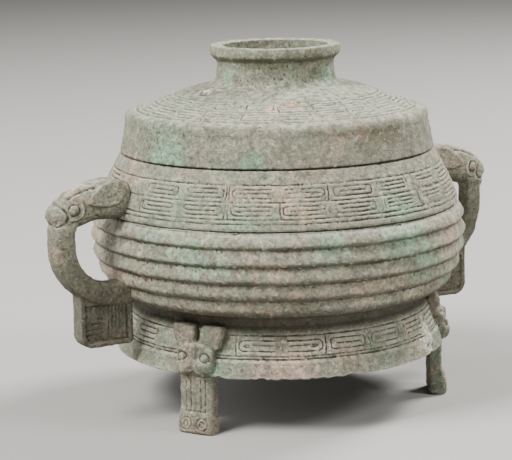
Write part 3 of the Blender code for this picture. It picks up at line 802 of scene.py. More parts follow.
def skinned(bm):
    """One closed skin over overlapping closed shapes, a little smoothed."""
    bmesh.ops.recalc_face_normals(bm, faces=bm.faces)
    rough = bpy.data.objects.new("rough", to_mesh(bm, "rough"))
    bpy.context.scene.collection.objects.link(rough)
    remesh = rough.modifiers.new("skin", "REMESH")
    remesh.mode = "VOXEL"
    remesh.voxel_size = VOXEL
    graph = bpy.context.evaluated_depsgraph_get()
    mesh = bpy.data.meshes.new_from_object(rough.evaluated_get(graph))
    bpy.data.objects.remove(rough)
    soft = bmesh.new()
    soft.from_mesh(mesh)
    for _ in range(SOFTENINGS):
        bmesh.ops.smooth_vert(soft, verts=soft.verts, factor=0.5, use_axis_x=True, use_axis_y=True,
                              use_axis_z=True)
    soft.to_mesh(mesh)
    soft.free()
    return mesh


# %% [markdown]
# ## The handles
#
# A beast with round eyes and leaf-shaped ears bites the end of a bar, which drops and bends back under to
# the belly. A tab hangs from it, with a raised border and a worn pattern. The head's stations give its rise
# and its half height from the neck to the snout. The handle is made once, on the right, and turned for the
# left one. Last, the right one's bar is slimmed, because the two bars in the photograph differ.

# %% The bar and the head
HEAD_Z = MOUTH_Z - 0.0225
HEAD_HALF = 0.0122
HEAD_WIDTH = 0.88
BAR_THICK = 0.0124
BAR_WIDE = 0.0170
BAR_SETBACK = 0.0040
BAR_SQUARE = 4.2
LOOP_R = SNOUT_R - BAR_SETBACK - BAR_THICK / 2
LOOP_END_SHARE = 0.84
LOOP_END_DEPTH = NECK_HEIGHT + LOOP_END_SHARE * RIDGES_HEIGHT
BEND_HEIGHT = 0.0310
BEND_STEPS = 14
BAR_SWELL = 0.0011
HEAD_ROUND = 2.3
HEAD_STEPS = 4
HEAD_STATIONS = ((0, 0, 0.95), (0.25, 0.14, 1.03), (0.47, 0.08, 1.0), (0.66, -0.2, 0.95),
                 (0.82, -0.47, 0.78), (0.92, -0.64, 0.56), (0.965, -0.72, 0.38))

handle = bmesh.new()
bend_z = MOUTH_Z - LOOP_END_DEPTH + BEND_HEIGHT
bend_run = LOOP_R - GROOVES_R - RIDGE_BULGE
thick = BAR_THICK / 2 + BAR_SWELL
bar_r = LOOP_R + BAR_SWELL
bar = [(bar_r - thick / 2, HEAD_Z - HEAD_HALF / 2), (bar_r, (HEAD_Z - HEAD_HALF / 2 + bend_z) / 2)]
for step in range(BEND_STEPS + 1):
    angle = math.pi / 2 * step / BEND_STEPS
    bar.append((bar_r - (bend_run + BAR_SWELL) * (1 - math.cos(angle)),
                bend_z - (BEND_HEIGHT + BAR_SWELL) * math.sin(angle)))
bar.append((groove_radius(LOOP_END_DEPTH) - WALL / 3, MOUTH_Z - LOOP_END_DEPTH - BAR_SWELL))
bridged(handle, [(x, z, thick, BAR_WIDE / 2, BAR_SQUARE) for x, z in bar])

root = neck_radius(MOUTH_Z - HEAD_Z) - WALL / 3
head = []
for share, rise, size in flowing(HEAD_STATIONS, HEAD_STEPS):
    half = size * HEAD_HALF
    x, z = root + share * (SNOUT_R - root), HEAD_Z + rise * HEAD_HALF
    head.append((x, z, half, half * HEAD_WIDTH, HEAD_ROUND))
bridged(handle, head)
print("bar centred at", round(LOOP_R, 4))

# %% Ears, eyes and the bulb of the nose
EAR_LONG = 0.0270
EAR_TALL = 0.0146
EAR_THICK = 0.0066
EAR_HOLLOW = 0.0019
EAR_DROOP = math.radians(17)
EAR_LEAN = math.radians(-14)
EAR_BOWL = 0.72
EAR_TAPER = 0.25
EAR_OUT = 0.0018
EAR_ASIDE = 0.95
EAR_UP = 0.0052
EYE_R = 0.0029
EYE_BACK = 0.28
EYE_ASIDE = 0.79
EYE_DROP = 0.0020
NOSE_AT = Vector((SNOUT_R - 0.0063, 0, HEAD_Z - 0.0060))
NOSE_RADII = (0.0061, 0.0078, 0.0062)


def add_ball(bm, radii, place):
    made = bmesh.ops.create_uvsphere(bm, u_segments=40, v_segments=24, radius=1)
    bmesh.ops.scale(bm, vec=radii, verts=made["verts"])
    bmesh.ops.transform(bm, matrix=place, verts=made["verts"])
    return made["verts"]


def add_ear(bm, side):
    """A leaf with its point outwards and down, hollow on the side that faces away from the head."""
    leaf = bmesh.ops.create_uvsphere(bm, u_segments=48, v_segments=32, radius=1)["verts"]
    for vert in leaf:
        x, y, z = vert.co
        inside = max(0, 1 - (x * x + z * z) / EAR_BOWL)
        y = y * EAR_THICK / 2 - side * (y * side > 0) * EAR_HOLLOW * inside ** 0.6
        tall = 1 - EAR_TAPER * (x + max(x, 0) ** 2)
        vert.co = (x * EAR_LONG / 2, y, z * tall * EAR_TALL / 2)
    turn = Matrix.Rotation(-side * EAR_LEAN, 4, "X") @ Matrix.Rotation(EAR_DROOP, 4, "Y")
    aside = side * HEAD_HALF * HEAD_WIDTH * EAR_ASIDE
    place = Vector((root + EAR_LONG / 2 + EAR_OUT, aside, HEAD_Z + EAR_UP))
    bmesh.ops.transform(bm, matrix=Matrix.Translation(place) @ turn, verts=leaf)


eye_x = SNOUT_R - EYE_BACK * (SNOUT_R - root)
eye_at = Vector((eye_x, HEAD_HALF * HEAD_WIDTH * EYE_ASIDE, HEAD_Z - EYE_DROP))
for side in (-1, 1):
    add_ear(handle, side)
    here = Vector((eye_at.x, side * eye_at.y, eye_at.z))
    add_ball(handle, (EYE_R, EYE_R * 0.8, EYE_R), Matrix.Translation(here))
add_ball(handle, NOSE_RADII, Matrix.Translation(NOSE_AT))

# %% The tab under the bar
TAB_SETBACK = 0.0136
TAB_OUT_R = LOOP_R + BAR_THICK / 2 - TAB_SETBACK
TAB_WIDE = 0.0356
TAB_LONG = 0.0321
TAB_HALF = 0.0060
TAB_CORNER = 0.0080
CORNER_STEPS = 8
tab_top = MOUTH_Z - LOOP_END_DEPTH
tab_bottom = tab_top - TAB_LONG - 0.0010

plate = bmesh.ops.create_cube(handle, size=1)["verts"]
size = (TAB_WIDE, 2 * TAB_HALF, tab_top - tab_bottom)
middle = (TAB_OUT_R - TAB_WIDE / 2, 0, (tab_top + tab_bottom) / 2)
bmesh.ops.transform(handle, matrix=Matrix.Translation(middle) @ Matrix.Diagonal((*size, 1)), verts=plate)
for x, corner in ((TAB_OUT_R, TAB_CORNER), (TAB_OUT_R - TAB_WIDE, TAB_CORNER / 3)):
    edge = [e for e in {e for v in plate if v.is_valid for e in v.link_edges}
            if all(abs(v.co.x - x) < WELD and abs(v.co.z - tab_bottom) < WELD for v in e.verts)]
    bmesh.ops.bevel(handle, geom=edge, offset=corner, offset_type="OFFSET", affect="EDGES",
                    segments=CORNER_STEPS, profile=0.5, material=-1)
handle_mesh = skinned(handle)
plain = hollows(handle_mesh)
print("one handle has", len(handle_mesh.polygons), "faces before carving")

# %% Carve the head: rings round the eyes, the groove behind the nose's bulb, and the band along the nose
SOCKET = (0.0006, 1.25 * EYE_R, 0.0017)
BROW = (-0.0008, 2.0 * EYE_R, 0.0028)
PUPIL = (0.0003, 0.45 * EYE_R, 0.0009)
NOSE_GROOVE = (0.0010, 0.0082, 0.0022)
BAND_DEEP, BAND_WIDE = 0.0009, 0.0022
BAND_FROM = root + 0.020
BAND_HALF, BAND_NARROWS = 0.0082, 0.09


def ring_cut(distance, deep, radius, wide):
    """Depth of a groove on a ring round a spot. A negative depth stands proud."""
    return deep * groove(distance - radius, wide)


def mirrored(points):
    """The points with those of the left half moved to the right."""
    return points * (1, 0, 1) + np.abs(points) * (0, 1, 0)


points = read(handle_mesh, "co")
to_eye = np.linalg.norm(mirrored(points) - np.array(eye_at), axis=1)
inner_low = ramp((eye_at.x - points[:, 0]) + 0.6 * (eye_at.z - points[:, 2]), 0, 0.003)
cut = ring_cut(to_eye, *SOCKET) + ring_cut(to_eye, *BROW) * inner_low + ring_cut(to_eye, *PUPIL)
to_nose = np.linalg.norm((points - np.array(NOSE_AT)) / (1, 1.2, 1), axis=1)
cut += ring_cut(to_nose, *NOSE_GROOVE) * (points[:, 2] > NOSE_AT.z - 0.006)
on_head = ramp(points[:, 0], BAND_FROM, BAND_FROM + 0.004)
on_head *= 1 - ramp(points[:, 0], SNOUT_R - 0.012, SNOUT_R - 0.010)
on_head *= points[:, 2] > HEAD_Z - HEAD_HALF * 0.6
band_edge = BAND_HALF - BAND_NARROWS * (points[:, 0] - BAND_FROM)
cut += BAND_DEEP * groove(np.abs(points[:, 1]) - band_edge, BAND_WIDE) * on_head
push(handle_mesh, -cut)
print("deepest cut in the head", round(float(cut.max()) * 1000, 2), "mm")

# %% Carve the tab: a border, bars and a curl on its outer half, fine upright lines on its inner half
BORDER = (0.0026, 0.0036)
BARS_FROM, BARS_TO, BARS_BELOW = 0.005, 0.0155, 0.0185
BARS_PITCH, BARS_WIDE = 0.0034, 0.0016
CURL_AT, CURL_R, CURL_WIDE = (0.0095, 0.0235), 0.0026, 0.0014
UPRIGHTS_FROM, UPRIGHTS_TO, UPRIGHTS_FOOT = 0.018, 0.0315, 0.0045
UPRIGHTS_PITCH, UPRIGHTS_WIDE = 0.0024, 0.0013
PANEL_DEEP = 0.0008
TAB_LINE_DEEP = 0.0004

points = read(handle_mesh, "co")
u = TAB_OUT_R - points[:, 0]
v = points[:, 2] - tab_bottom
flat = (np.abs(read(handle_mesh, "normal")[:, 1]) > 0.75) & (v < TAB_LONG - 0.0055) & (v > 0)
flat &= np.abs(points[:, 1]) < TAB_HALF + 0.0008
inset = np.minimum(np.minimum(u, TAB_WIDE - u), v)
corner = TAB_CORNER - np.hypot(np.maximum(TAB_CORNER - u, 0), np.maximum(TAB_CORNER - v, 0))
inset = np.where((u < TAB_CORNER) & (v < TAB_CORNER), corner, inset)
bars = groove((v - 0.0065) % BARS_PITCH - BARS_PITCH / 2, BARS_WIDE)
bars *= (u > BARS_FROM) & (u < BARS_TO) & (v < BARS_BELOW)
curl = groove(np.hypot(u - CURL_AT[0], v - CURL_AT[1]) - CURL_R, CURL_WIDE)
uprights = groove((u - UPRIGHTS_FROM) % UPRIGHTS_PITCH - UPRIGHTS_PITCH / 2, UPRIGHTS_WIDE)
uprights *= (u > UPRIGHTS_FROM) & (u < UPRIGHTS_TO) & (v > UPRIGHTS_FOOT)
lines = np.maximum.reduce([bars, curl, uprights])
sunk = flat * ramp(inset, *BORDER)
push(handle_mesh, -sunk * (PANEL_DEEP + TAB_LINE_DEEP * lines * worn(points, 0.3)))
weather(handle_mesh, dents=0.00032, grain=0.00028, pits=0.00030, crumbs=0.00035)
note_hollows(handle_mesh, plain, keep=0.35)

# %% Turn the finished handle for the other side, and slim the bar of the right one, as in the photograph
SLIMMER = 0.0022
NARROWER = 0.22
left_mesh = handle_mesh.copy()
left_mesh.transform(Matrix.Rotation(math.pi, 4, "Z"))
points = read(handle_mesh, "co")
on_bar = ramp(HEAD_Z - points[:, 2], 0.010, 0.018) * ramp(points[:, 2], tab_top - 0.002, tab_top + 0.008)
inwards = -SLIMMER * on_bar * ramp(points[:, 0], LOOP_R, LOOP_R + 0.005)
shift(handle_mesh, np.stack([inwards, -NARROWER * points[:, 1] * on_bar, 0 * inwards], axis=1))
handle_pieces = [finish_piece("handle_right", handle_mesh), finish_piece("handle_left", left_mesh)]

# %% [markdown]
# ## The feet
#
# Each foot is a beast's mask on the ring foot over an upright leg that curls out into a toe. The leg is
# bridged through stations, and the mask is rounded boxes and balls, all under one skin again. Lines on the
# leg, rings round the eyes and the curl of the toe are pressed in.

# %% One foot, on the right
LEG_SETBACK = 0.0004
LEG_THICK = 0.0092
LEG_FRONT = RING_TOP_R + RING_FLARE - LEG_SETBACK
LEG_BACK = LEG_FRONT - LEG_THICK
LEG_HALF = 0.0118
LEG_STEPS = 18
LEG_SQUARE = 5
TOE_PROUD = 0.0038
TOE_HEIGHT = 0.0138
TOE_WIDER = 0.0009
MASK_TOP = 0.0540
MASK_EYE = Vector((LEG_FRONT + 0.0012, 0.0080, MASK_TOP - 0.0062))
MASK_EYE_R = 0.0027
MASK_HALF = 0.0126
BROW_HALF = 0.0078
NOSE_HALF = 0.0022
HORN_INNER, HORN_OUTER = 0.0014, 0.0156
HORN_FLARE = 0.22
HORN_FLARE_HEIGHT = 0.0150
HORN_TOP_Z = 0.0668
JOWL_AT = (LEG_FRONT + 0.0004, 0.0062, 0.0424)
JOWL_RADII = (0.0050, 0.0064, 0.0062)
SOLE_CLEAR = 0.0002


def add_box(bm, low, high, rounding):
    """A rounded box between two corners."""
    made = bmesh.ops.create_cube(bm, size=1)["verts"]
    size = Vector(high) - Vector(low)
    place = Matrix.Translation((Vector(high) + Vector(low)) / 2) @ Matrix.Diagonal((*size, 1))
    bmesh.ops.transform(bm, matrix=place, verts=made)
    edges = list({edge for vert in made for edge in vert.link_edges})
    made = bmesh.ops.bevel(bm, geom=edges, offset=rounding, offset_type="OFFSET", affect="EDGES", segments=4,
                           profile=0.5, material=-1)
    return {vert for face in made["faces"] for vert in face.verts}


foot = bmesh.new()
leg = []
for step in range(LEG_STEPS + 1):
    z = (MASK_TOP - 0.006) * step / LEG_STEPS
    toe = TOE_PROUD * max(0, 1 - (z / TOE_HEIGHT) ** 2) ** 0.5 * (0.45 + 0.55 * min(1, z / 0.003))
    front = LEG_FRONT + toe
    half_wide = LEG_HALF + TOE_WIDER * max(0, 1 - z / TOE_HEIGHT)
    leg.append(((front + LEG_BACK) / 2, z, (front - LEG_BACK) / 2, half_wide, LEG_SQUARE))
bridged(foot, leg)
mask_back = ring_radius(MASK_TOP) - WALL / 2
for half, bottom, proud, top, rounding in (
    (MASK_HALF, RING_Z + 0.0005, 0.0018, MASK_TOP, 0.0022),
    (BROW_HALF, MASK_TOP - 0.0035, 0.0016, MASK_TOP + 0.0022, 0.0016),
    (NOSE_HALF, RING_Z + 0.0030, 0.0034, MASK_TOP + 0.0020, 0.0013),
):
    add_box(foot, (mask_back, -half, bottom), (LEG_FRONT + proud, half, top), rounding)
horn_back = ring_radius(0.070)
for side in (-1, 1):
    inner, outer = sorted((side * HORN_INNER, side * HORN_OUTER))
    low, high = (horn_back, inner, MASK_TOP - 0.0024), (LEG_FRONT - 0.0018, outer, HORN_TOP_Z)
    for vert in add_box(foot, low, high, 0.0030):
        vert.co.y *= 1 + HORN_FLARE * (vert.co.z - MASK_TOP) / HORN_FLARE_HEIGHT
    add_ball(foot, (MASK_EYE_R,) * 3, Matrix.Translation((MASK_EYE.x, side * MASK_EYE.y, MASK_EYE.z)))
    add_ball(foot, JOWL_RADII, Matrix.Translation((JOWL_AT[0], side * JOWL_AT[1], JOWL_AT[2])))
foot_mesh = skinned(foot)
lift(foot_mesh, np.maximum(0, SOLE_CLEAR - read(foot_mesh, "co")[:, 2]))
plain = hollows(foot_mesh)
print("one foot has", len(foot_mesh.polygons), "faces before carving")

# %% Its rings, lines and the curl of its toe
MASK_SOCKET = (0.0006, 1.25 * MASK_EYE_R, 0.0016)
LEG_LINES = (0.0035, 0.0068)
LEG_LINES_FROM = (0.0125, 0.0150)
LEG_LINES_TO = (0.0335, 0.0350)
LEG_LINE_DEEP, LEG_LINE_WIDE = 0.0005, 0.0013
ANKLE_Z, ANKLE_HALF = 0.0142, 0.0070
TOE_CURL_AT = (0.0056, 0.0066)
TOE_CURLS = ((0.0005, 0.0016, 0.0012), (0.0005, 0.0038, 0.0012))

points = read(foot_mesh, "co")
facing = read(foot_mesh, "normal")[:, 0] > 0.35
aside, height = np.abs(points[:, 1]), points[:, 2]
cut = ring_cut(np.linalg.norm(mirrored(points) - np.array(MASK_EYE), axis=1), *MASK_SOCKET)
on_leg = ramp(height, *LEG_LINES_FROM) * (1 - ramp(height, *LEG_LINES_TO)) * facing
for line in LEG_LINES:
    cut += LEG_LINE_DEEP * groove(aside - line, LEG_LINE_WIDE) * on_leg
cut += LEG_LINE_DEEP * groove(height - ANKLE_Z, LEG_LINE_WIDE) * facing * (aside < ANKLE_HALF)
to_curl = np.hypot(aside - TOE_CURL_AT[0], height - TOE_CURL_AT[1])
for curl in TOE_CURLS:
    cut += ring_cut(to_curl, *curl) * facing
push(foot_mesh, -cut)
weather(foot_mesh, dents=0.00022, grain=0.00024, pits=0.00028, crumbs=0.00035)
lift(foot_mesh, np.maximum(0, -read(foot_mesh, "co")[:, 2]))
note_hollows(foot_mesh, plain, keep=0.6)

# %% Three feet, the first at the back
feet = []
for number in range(3):
    turned = foot_mesh.copy()
    turned.transform(Matrix.Rotation(math.pi / 2 + number * TURN / 3, 4, "Z"))
    feet.append(finish_piece(f"foot_{number + 1}", turned))
bpy.data.meshes.remove(foot_mesh)

# %% Hide the CAD parts that the pieces stand in for, and count the triangles
vessel_pieces = [neck_piece, belly_piece, ring_piece, *handle_pieces, *feet]
for piece in vessel_pieces:
    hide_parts("vessel")
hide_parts("lid")
print(sum(triangles(piece.data) for piece in (*vessel_pieces, lid_piece)), "triangles in all")

# %% [markdown]
# ## The patina, with painted light and shade
#
# The bronze has gone matt under layers: a grey-green ground, sage and bright green patches, a buff bloom,
# dark dirt in each hollow, and crumbs of pale crust on what stands proud. Noise of seven sizes mixes them,
# read from Object coordinates so that it stays put in every view. The hollow attribute places the dirt.
# What faces down gets a painted shade, what faces up gets dust and a painted top light, a band of each piece
# by height gets a painted shade, and a few patches lie where the photograph has them.

# %% A short way to write node trees
class Nodes:
    """Adds nodes to a material's tree and links them as they are named."""

    def __init__(self, name):
        self.material = bpy.data.materials.new(name)
        self.material.use_nodes = True
        self.tree = self.material.node_tree
        self.shader = self.tree.nodes["Principled BSDF"]
        coordinates = self.add("ShaderNodeTexCoord")
        self.place, self.normal = coordinates.outputs["Object"], coordinates.outputs["Normal"]

    def add(self, kind, **inputs):
        node = self.tree.nodes.new(kind)
        for name, value in inputs.items():
            self.feed(node.inputs[name.replace("_", " ")], value)
        return node

    def feed(self, socket, value):
        if isinstance(value, bpy.types.NodeSocket):
            self.tree.links.new(value, socket)
        else:
            socket.default_value = value

    def noise(self, size, detail=3.0, roughness=0.55, seed=0.0, distortion=0.0):
        """Noise from 0 to 1 with lumps of this size in metres."""
        moved = self.add("ShaderNodeMapping", Vector=self.place, Location=(seed, 2 * seed, -seed))
        node = self.add("ShaderNodeTexNoise", Vector=moved.outputs["Vector"], Scale=1 / size, Detail=detail,
                        Roughness=roughness, Distortion=distortion)
        return node.outputs["Fac"]

    def range(self, value, low, high, to_low=0.0, to_high=1.0):
        """A smooth step from to_low at low to to_high at high."""
        node = self.add("ShaderNodeMapRange", Value=value)
        node.interpolation_type = "SMOOTHSTEP"
        for name, number in zip(("From Min", "From Max", "To Min", "To Max"), (low, high, to_low, to_high)):
            node.inputs[name].default_value = number
        return node.outputs["Result"]

    def math(self, operation, a, b):
        node = self.add("ShaderNodeMath")
        node.operation = operation
        self.feed(node.inputs[0], a)
        self.feed(node.inputs[1], b)
        return node.outputs[0]

    def mix(self, share, a, b, blend="MIX"):
        node = self.add("ShaderNodeMix")
        node.data_type = "RGBA"
        node.blend_type = blend
        sockets = [socket for socket in node.inputs if socket.enabled]
        for socket, value in zip(sockets, (share, a, b)):
            self.feed(socket, value)
        return next(socket for socket in node.outputs if socket.enabled)


# %% The patina's colours, its painted light and shade, and its layers
GROUND = (0.225, 0.225, 0.165, 1)
SAGE = (0.185, 0.240, 0.165, 1)
BUFF = (0.410, 0.292, 0.222, 1)
BRIGHT_GREEN = (0.190, 0.365, 0.245, 1)
# Dark dirt for the hollows, also used as the painted shade of the height bands.
DIRT_AND_PAINTED_SHADE = (0.040, 0.033, 0.021, 1)
# Painted shade for faces that point down.
PAINTED_UNDERSIDE_SHADE = (0.050, 0.042, 0.029, 1)
# Pale crust for crumbs, patches and proud edges, also used as the painted top light on faces that point up.
CRUST_AND_PAINTED_TOP_LIGHT = (0.66, 0.64, 0.54, 1)
NOISES = {
    "broad": (0.055, 4.0, 0.6, 0.0, 0.8),
    "patches": (0.021, 4.0, 0.62, 3.1, 0.6),
    "blooms": (0.030, 5.0, 0.65, 7.7, 0.9),
    "mottles": (0.0042, 4.0, 0.65, 1.3),
    "grit": (0.0016, 3.0, 0.6, 4.4),
    "specks": (0.0019, 3.0, 0.6, 5.9),
    "clouds": (0.0105, 3.0, 0.6, 8.8, 0.5),
}
GRAIN_NOISE = (0.0009, 3.0, 0.6, 2.2)
SHINE = 0.35
BUMP_HEIGHT = 0.0008


def patina(name, sage, buff, green, shade, painted_shade_band, spots=()):
    """A patina, with painted shade and a painted top light. sage, buff and green say how much of each shows,
    and shade darkens the whole.

    The band of three numbers gives the height where a painted shade begins, the one where it is darkest, and
    its share there.
    """
    n = Nodes(name)
    broad, patches, blooms, mottles, grit, specks, clouds = (n.noise(*values) for values in NOISES.values())
    colour = n.mix(n.range(broad, 0.62 - 0.25 * sage, 0.70, 0, 0.9), GROUND, SAGE)
    colour = n.mix(n.range(patches, 0.66 - 0.28 * buff, 0.74, 0, 0.85), colour, BUFF)
    colour = n.mix(n.range(blooms, 0.72 - 0.22 * green, 0.78, 0, 0.85), colour, BRIGHT_GREEN)
    for place, size, tint, most in spots:
        away = n.add("ShaderNodeVectorMath", Vector=n.place)
        away.operation = "DISTANCE"
        away.inputs[1].default_value = place
        reach = n.math("ADD", away.outputs["Value"], n.range(mottles, 0.2, 0.8, 0.9 * size, -0.9 * size))
        reach = n.math("ADD", reach, n.range(patches, 0.3, 0.7, 0.5 * size, -0.5 * size))
        colour = n.mix(n.range(reach, 0.2 * size, 1.4 * size, most, 0), colour, tint)
    tone = n.math("MULTIPLY", n.range(mottles, 0.25, 0.75, 0.66 * shade, 1.30 * shade),
                  n.range(grit, 0.25, 0.75, 0.68, 1.32))
    tone = n.math("MULTIPLY", tone, n.range(clouds, 0.25, 0.75, 0.78, 1.22))
    colour = n.mix(1.0, colour, tone, "MULTIPLY")
    crumbly = n.range(clouds, 0.35, 0.7, 0.12, 0.9)
    colour = n.mix(n.math("MULTIPLY", n.range(specks, 0.57, 0.74), crumbly), colour, CRUST_AND_PAINTED_TOP_LIGHT)
    height = n.add("ShaderNodeSeparateXYZ", Vector=n.place).outputs["Z"]
    uneven = n.math("ADD", height, n.range(mottles, 0.2, 0.8, -0.0012, 0.0012))
    tilt = n.add("ShaderNodeSeparateXYZ", Vector=n.normal).outputs["Z"]
    # Painted shade: faces that point down are darkened.
    colour = n.mix(n.range(tilt, -0.20, -0.85, 0, 0.75), colour, PAINTED_UNDERSIDE_SHADE)
    # Faces that point up are lightened, partly by dust and partly by a painted top light.
    dust_and_painted_top_light = n.math("MULTIPLY", n.range(tilt, 0.30, 0.97, 0, 0.40), n.range(mottles, 0.35, 0.65))
    colour = n.mix(dust_and_painted_top_light, colour, CRUST_AND_PAINTED_TOP_LIGHT)
    hollow = n.add("ShaderNodeAttribute")
    hollow.attribute_name = "hollow"
    depth = n.math("ADD", hollow.outputs["Fac"], n.range(mottles, 0.2, 0.8, -0.25, 0.25))
    colour = n.mix(n.range(depth, 0.10, 1.6, 0, 0.9), colour, DIRT_AND_PAINTED_SHADE)
    colour = n.mix(n.range(depth, -0.35, -1.6, 0, 0.35), colour, CRUST_AND_PAINTED_TOP_LIGHT)
    # Painted shade: each piece is darkened by height, over the band that its finish gives.
    colour = n.mix(n.range(uneven, painted_shade_band[0], painted_shade_band[1], 0, painted_shade_band[2]), colour, DIRT_AND_PAINTED_SHADE)
    n.feed(n.shader.inputs["Base Color"], colour)
    n.feed(n.shader.inputs["Roughness"], n.range(patches, 0.3, 0.7, 0.62, 0.88))
    n.shader.inputs["Metallic"].default_value = 0.0
    n.shader.inputs["Specular IOR Level"].default_value = SHINE
    grain = n.math("ADD", n.noise(*GRAIN_NOISE), n.math("MULTIPLY", mottles, 1.2))
    bump = n.add("ShaderNodeBump", Height=grain, Strength=1.0, Distance=BUMP_HEIGHT)
    n.feed(n.shader.inputs["Normal"], bump.outputs["Normal"])
    return n.material


# %% One finish for each kind of piece, with the few patches that stand out: place, size, tint and strength
ORANGE = (0.52, 0.27, 0.15, 1)
OLIVE = (0.105, 0.090, 0.045, 1)
LID_SPOTS = (
    ((-0.0259, -0.0632, 0.1973), 0.0050, ORANGE, 0.9),
    ((-0.0405, -0.0617, 0.1953), 0.0040, ORANGE, 0.8),
    ((-0.0524, -0.0061, 0.2021), 0.0060, CRUST_AND_PAINTED_TOP_LIGHT, 0.9),
    ((-0.0941, -0.0306, 0.1673), 0.0120, BRIGHT_GREEN, 0.7),
    ((-0.0635, -0.0766, 0.1640), 0.0090, BRIGHT_GREEN, 0.5),
    ((0.0201, -0.0949, 0.1787), 0.0160, OLIVE, 0.5),
    ((-0.0366, -0.0062, 0.2122), 0.0080, BRIGHT_GREEN, 0.6),
    ((0.0163, -0.0334, 0.2108), 0.0080, BRIGHT_GREEN, 0.6),
)
BELLY_SPOTS = (
    ((-0.1011, -0.0653, 0.1123), 0.0130, BRIGHT_GREEN, 0.55),
    ((-0.0902, -0.0796, 0.1073), 0.0090, BRIGHT_GREEN, 0.5),
    ((-0.0326, -0.1153, 0.1185), 0.0120, BRIGHT_GREEN, 0.55),
    ((0.0404, -0.1127, 0.1011), 0.0140, BRIGHT_GREEN, 0.45),
    ((0.0180, -0.1180, 0.1200), 0.0200, BRIGHT_GREEN, 0.6),
    ((-0.1126, -0.0400, 0.1205), 0.0100, BRIGHT_GREEN, 0.5),
    ((-0.0630, -0.0990, 0.1040), 0.0140, BUFF, 0.6),
    ((0.0050, -0.1150, 0.0920), 0.0140, BUFF, 0.6),
)
NECK_SPOTS = (
    ((-0.0762, -0.0858, 0.1307), 0.0100, BRIGHT_GREEN, 0.55),
    ((0.0203, -0.1103, 0.1380), 0.0160, BRIGHT_GREEN, 0.55),
    ((-0.0500, -0.0960, 0.1480), 0.0130, BUFF, 0.5),
)
RING_SPOTS = (
    ((-0.0418, -0.0943, 0.0416), 0.0180, BUFF, 0.8),
    ((-0.0284, -0.0958, 0.0511), 0.0060, CRUST_AND_PAINTED_TOP_LIGHT, 0.6),
    ((0.0564, -0.0840, 0.0477), 0.0085, CRUST_AND_PAINTED_TOP_LIGHT, 0.95),
)
# Each finish's band of three numbers is a painted shade by height. It falls on the lip inside the lid, the
# belly's underside, the tops of the ring foot and the feet under the belly, the handles below their heads,
# and the lid's lower edge.
FINISHES = {
    "neck": patina("neck_patina_and_painted_light", sage=0.35, buff=0.65, green=0.60, shade=1.10,
                   painted_shade_band=(MOUTH_Z - 0.0006, MOUTH_Z + 0.002, 0.8), spots=NECK_SPOTS),
    "belly": patina("belly_patina_and_painted_light", sage=0.35, buff=0.85, green=0.65, shade=1.06,
                    painted_shade_band=(UNDER_Z + 0.006, UNDER_Z - 0.004, 0.85), spots=BELLY_SPOTS),
    "ring_foot": patina("ring_foot_patina_and_painted_light", sage=0.60, buff=0.60, green=0.70, shade=1.02,
                        painted_shade_band=(0.0615, RING_TOP_Z - 0.001, 0.88), spots=RING_SPOTS),
    "handle": patina("handle_patina_and_painted_light", sage=0.15, buff=0.55, green=0.35, shade=1.05,
                     painted_shade_band=(HEAD_Z - 0.002, 0.090, 0.55)),
    "foot": patina("foot_patina_and_painted_light", sage=0.35, buff=0.90, green=0.40, shade=0.82,
                   painted_shade_band=(0.0615, RING_TOP_Z, 0.5)),
    "lid_cover": patina("lid_patina_and_painted_light", sage=0.80, buff=0.38, green=0.70, shade=1.04,
                        painted_shade_band=(LID_Z + 0.002, LID_Z, 0.7), spots=LID_SPOTS),
}
for piece in (*vessel_pieces, lid_piece):
    kind = next(kind for kind in FINISHES if piece.name.startswith(kind))
    piece.data.materials.clear()
    piece.data.materials.append(FINISHES[kind])

# %% [markdown]
# ## Floor, light and camera
#
# The floor is plain and pale. Of five soft lamps the key stands high at the left front. One behind at the
# right lights the lid's top, and a side lamp its right. A low one at the left draws the rim of the left
# side, and a weak one in front fills the shadows. The camera stands where the photograph's did: its
# direction, height and distance come from the ellipses of the mouth, the belly and the foot.

# %% The floor
FLOOR_HALF = 4
FLOOR_COLOUR = (0.42, 0.412, 0.40, 1)
FLOOR_ROUGHNESS = 0.9

floor_bm = bmesh.new()
bmesh.ops.create_grid(floor_bm, x_segments=1, y_segments=1, size=FLOOR_HALF)
floor = bpy.data.objects.new("floor", to_mesh(floor_bm, "floor"))
bpy.context.scene.collection.objects.link(floor)
floor_nodes = Nodes("pale_floor")
floor_nodes.shader.inputs["Base Color"].default_value = FLOOR_COLOUR
floor_nodes.shader.inputs["Roughness"].default_value = FLOOR_ROUGHNESS
floor.data.materials.append(floor_nodes.material)
floor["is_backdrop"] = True

# %% The camera
VIEW_TURN = math.radians(29.7)
VIEW_DOWN = math.radians(10.47)
VIEW_ROLL = math.radians(-1.1)
VIEW_DISTANCE = 1.250
FRAME_WIDE, FRAME_TALL = 512, 460
FOCAL_PIXELS = 1950.9
AIM_PIXEL = (276.8, 147.6)
CLIP_NEAR, CLIP_FAR = 0.05, 20

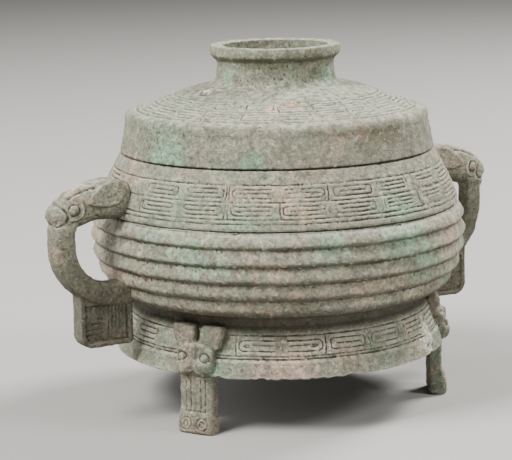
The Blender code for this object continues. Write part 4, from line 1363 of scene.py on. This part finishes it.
camera_data = bpy.data.cameras.new("camera")
camera = bpy.data.objects.new("camera", camera_data)
bpy.context.scene.collection.objects.link(camera)
bpy.context.scene.camera = camera
camera_data.lens = FOCAL_PIXELS / FRAME_WIDE * camera_data.sensor_width
tilt = Matrix.Rotation(-VIEW_TURN, 3, "Z") @ Matrix.Rotation(math.pi / 2 - VIEW_DOWN, 3, "X")
tilt = tilt @ Matrix.Rotation(VIEW_ROLL, 3, "Z")
aim = Vector(((AIM_PIXEL[0] - FRAME_WIDE / 2) / FOCAL_PIXELS * VIEW_DISTANCE,
              -(AIM_PIXEL[1] - FRAME_TALL / 2) / FOCAL_PIXELS * VIEW_DISTANCE, -VIEW_DISTANCE))
camera.rotation_euler = tilt.to_euler()
camera.location = Vector((0, 0, MOUTH_Z)) - tilt @ aim
camera_data.clip_start, camera_data.clip_end = CLIP_NEAR, CLIP_FAR
print("camera at", [round(c, 3) for c in camera.location])


# %% The lamps, placed by metres to the right, away from the camera and up
WARM = (1, 0.98, 0.94)
WHITE = (1, 1, 1)
LAMPS = (
    ("key", 1.2, 165, (-1.6, -1.2, 2.4), WARM),
    ("back", 1.0, 150, (1.7, 1.3, 2.3), WARM),
    ("side", 0.8, 40, (2.1, -0.9, 1.9), WARM),
    ("rim", 0.8, 22, (-2.4, 0.3, 0.9), WHITE),
    ("fill", 1.6, 10, (0.6, -2.8, 0.8), WHITE),
)
LAMPS_AIM = Vector((0, 0, 0.12))
ROOM_COLOUR = (0.80, 0.82, 0.85, 1)
ROOM_STRENGTH = 0.16


def lamp(name, size, watts, place, colour):
    """A square soft lamp that looks at the vessel's middle."""
    data = bpy.data.lights.new(name, "AREA")
    data.size, data.energy, data.color = size, watts, colour
    made = bpy.data.objects.new(name, data)
    made.location = place
    made.rotation_euler = (LAMPS_AIM - place).to_track_quat("-Z", "Y").to_euler()
    bpy.context.scene.collection.objects.link(made)


right = Vector((math.cos(VIEW_TURN), -math.sin(VIEW_TURN), 0))
away_from_camera = Vector((math.sin(VIEW_TURN), math.cos(VIEW_TURN), 0))
for name, size, watts, (across, beyond, height), colour in LAMPS:
    place = across * right + beyond * away_from_camera + height * Vector(UP.tolist())
    lamp(name, size, watts, place, colour)
print(len(LAMPS), "lamps")

# %% The room's own dim light
world = bpy.data.worlds.new("room")
world.use_nodes = True
background = world.node_tree.nodes["Background"]
background.inputs["Color"].default_value = ROOM_COLOUR
background.inputs["Strength"].default_value = ROOM_STRENGTH
bpy.context.scene.world = world

# %% Print the visual box and finish
low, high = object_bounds()
print("visual box in metres:", [round(b - a, 4) for a, b in zip(low, high)])
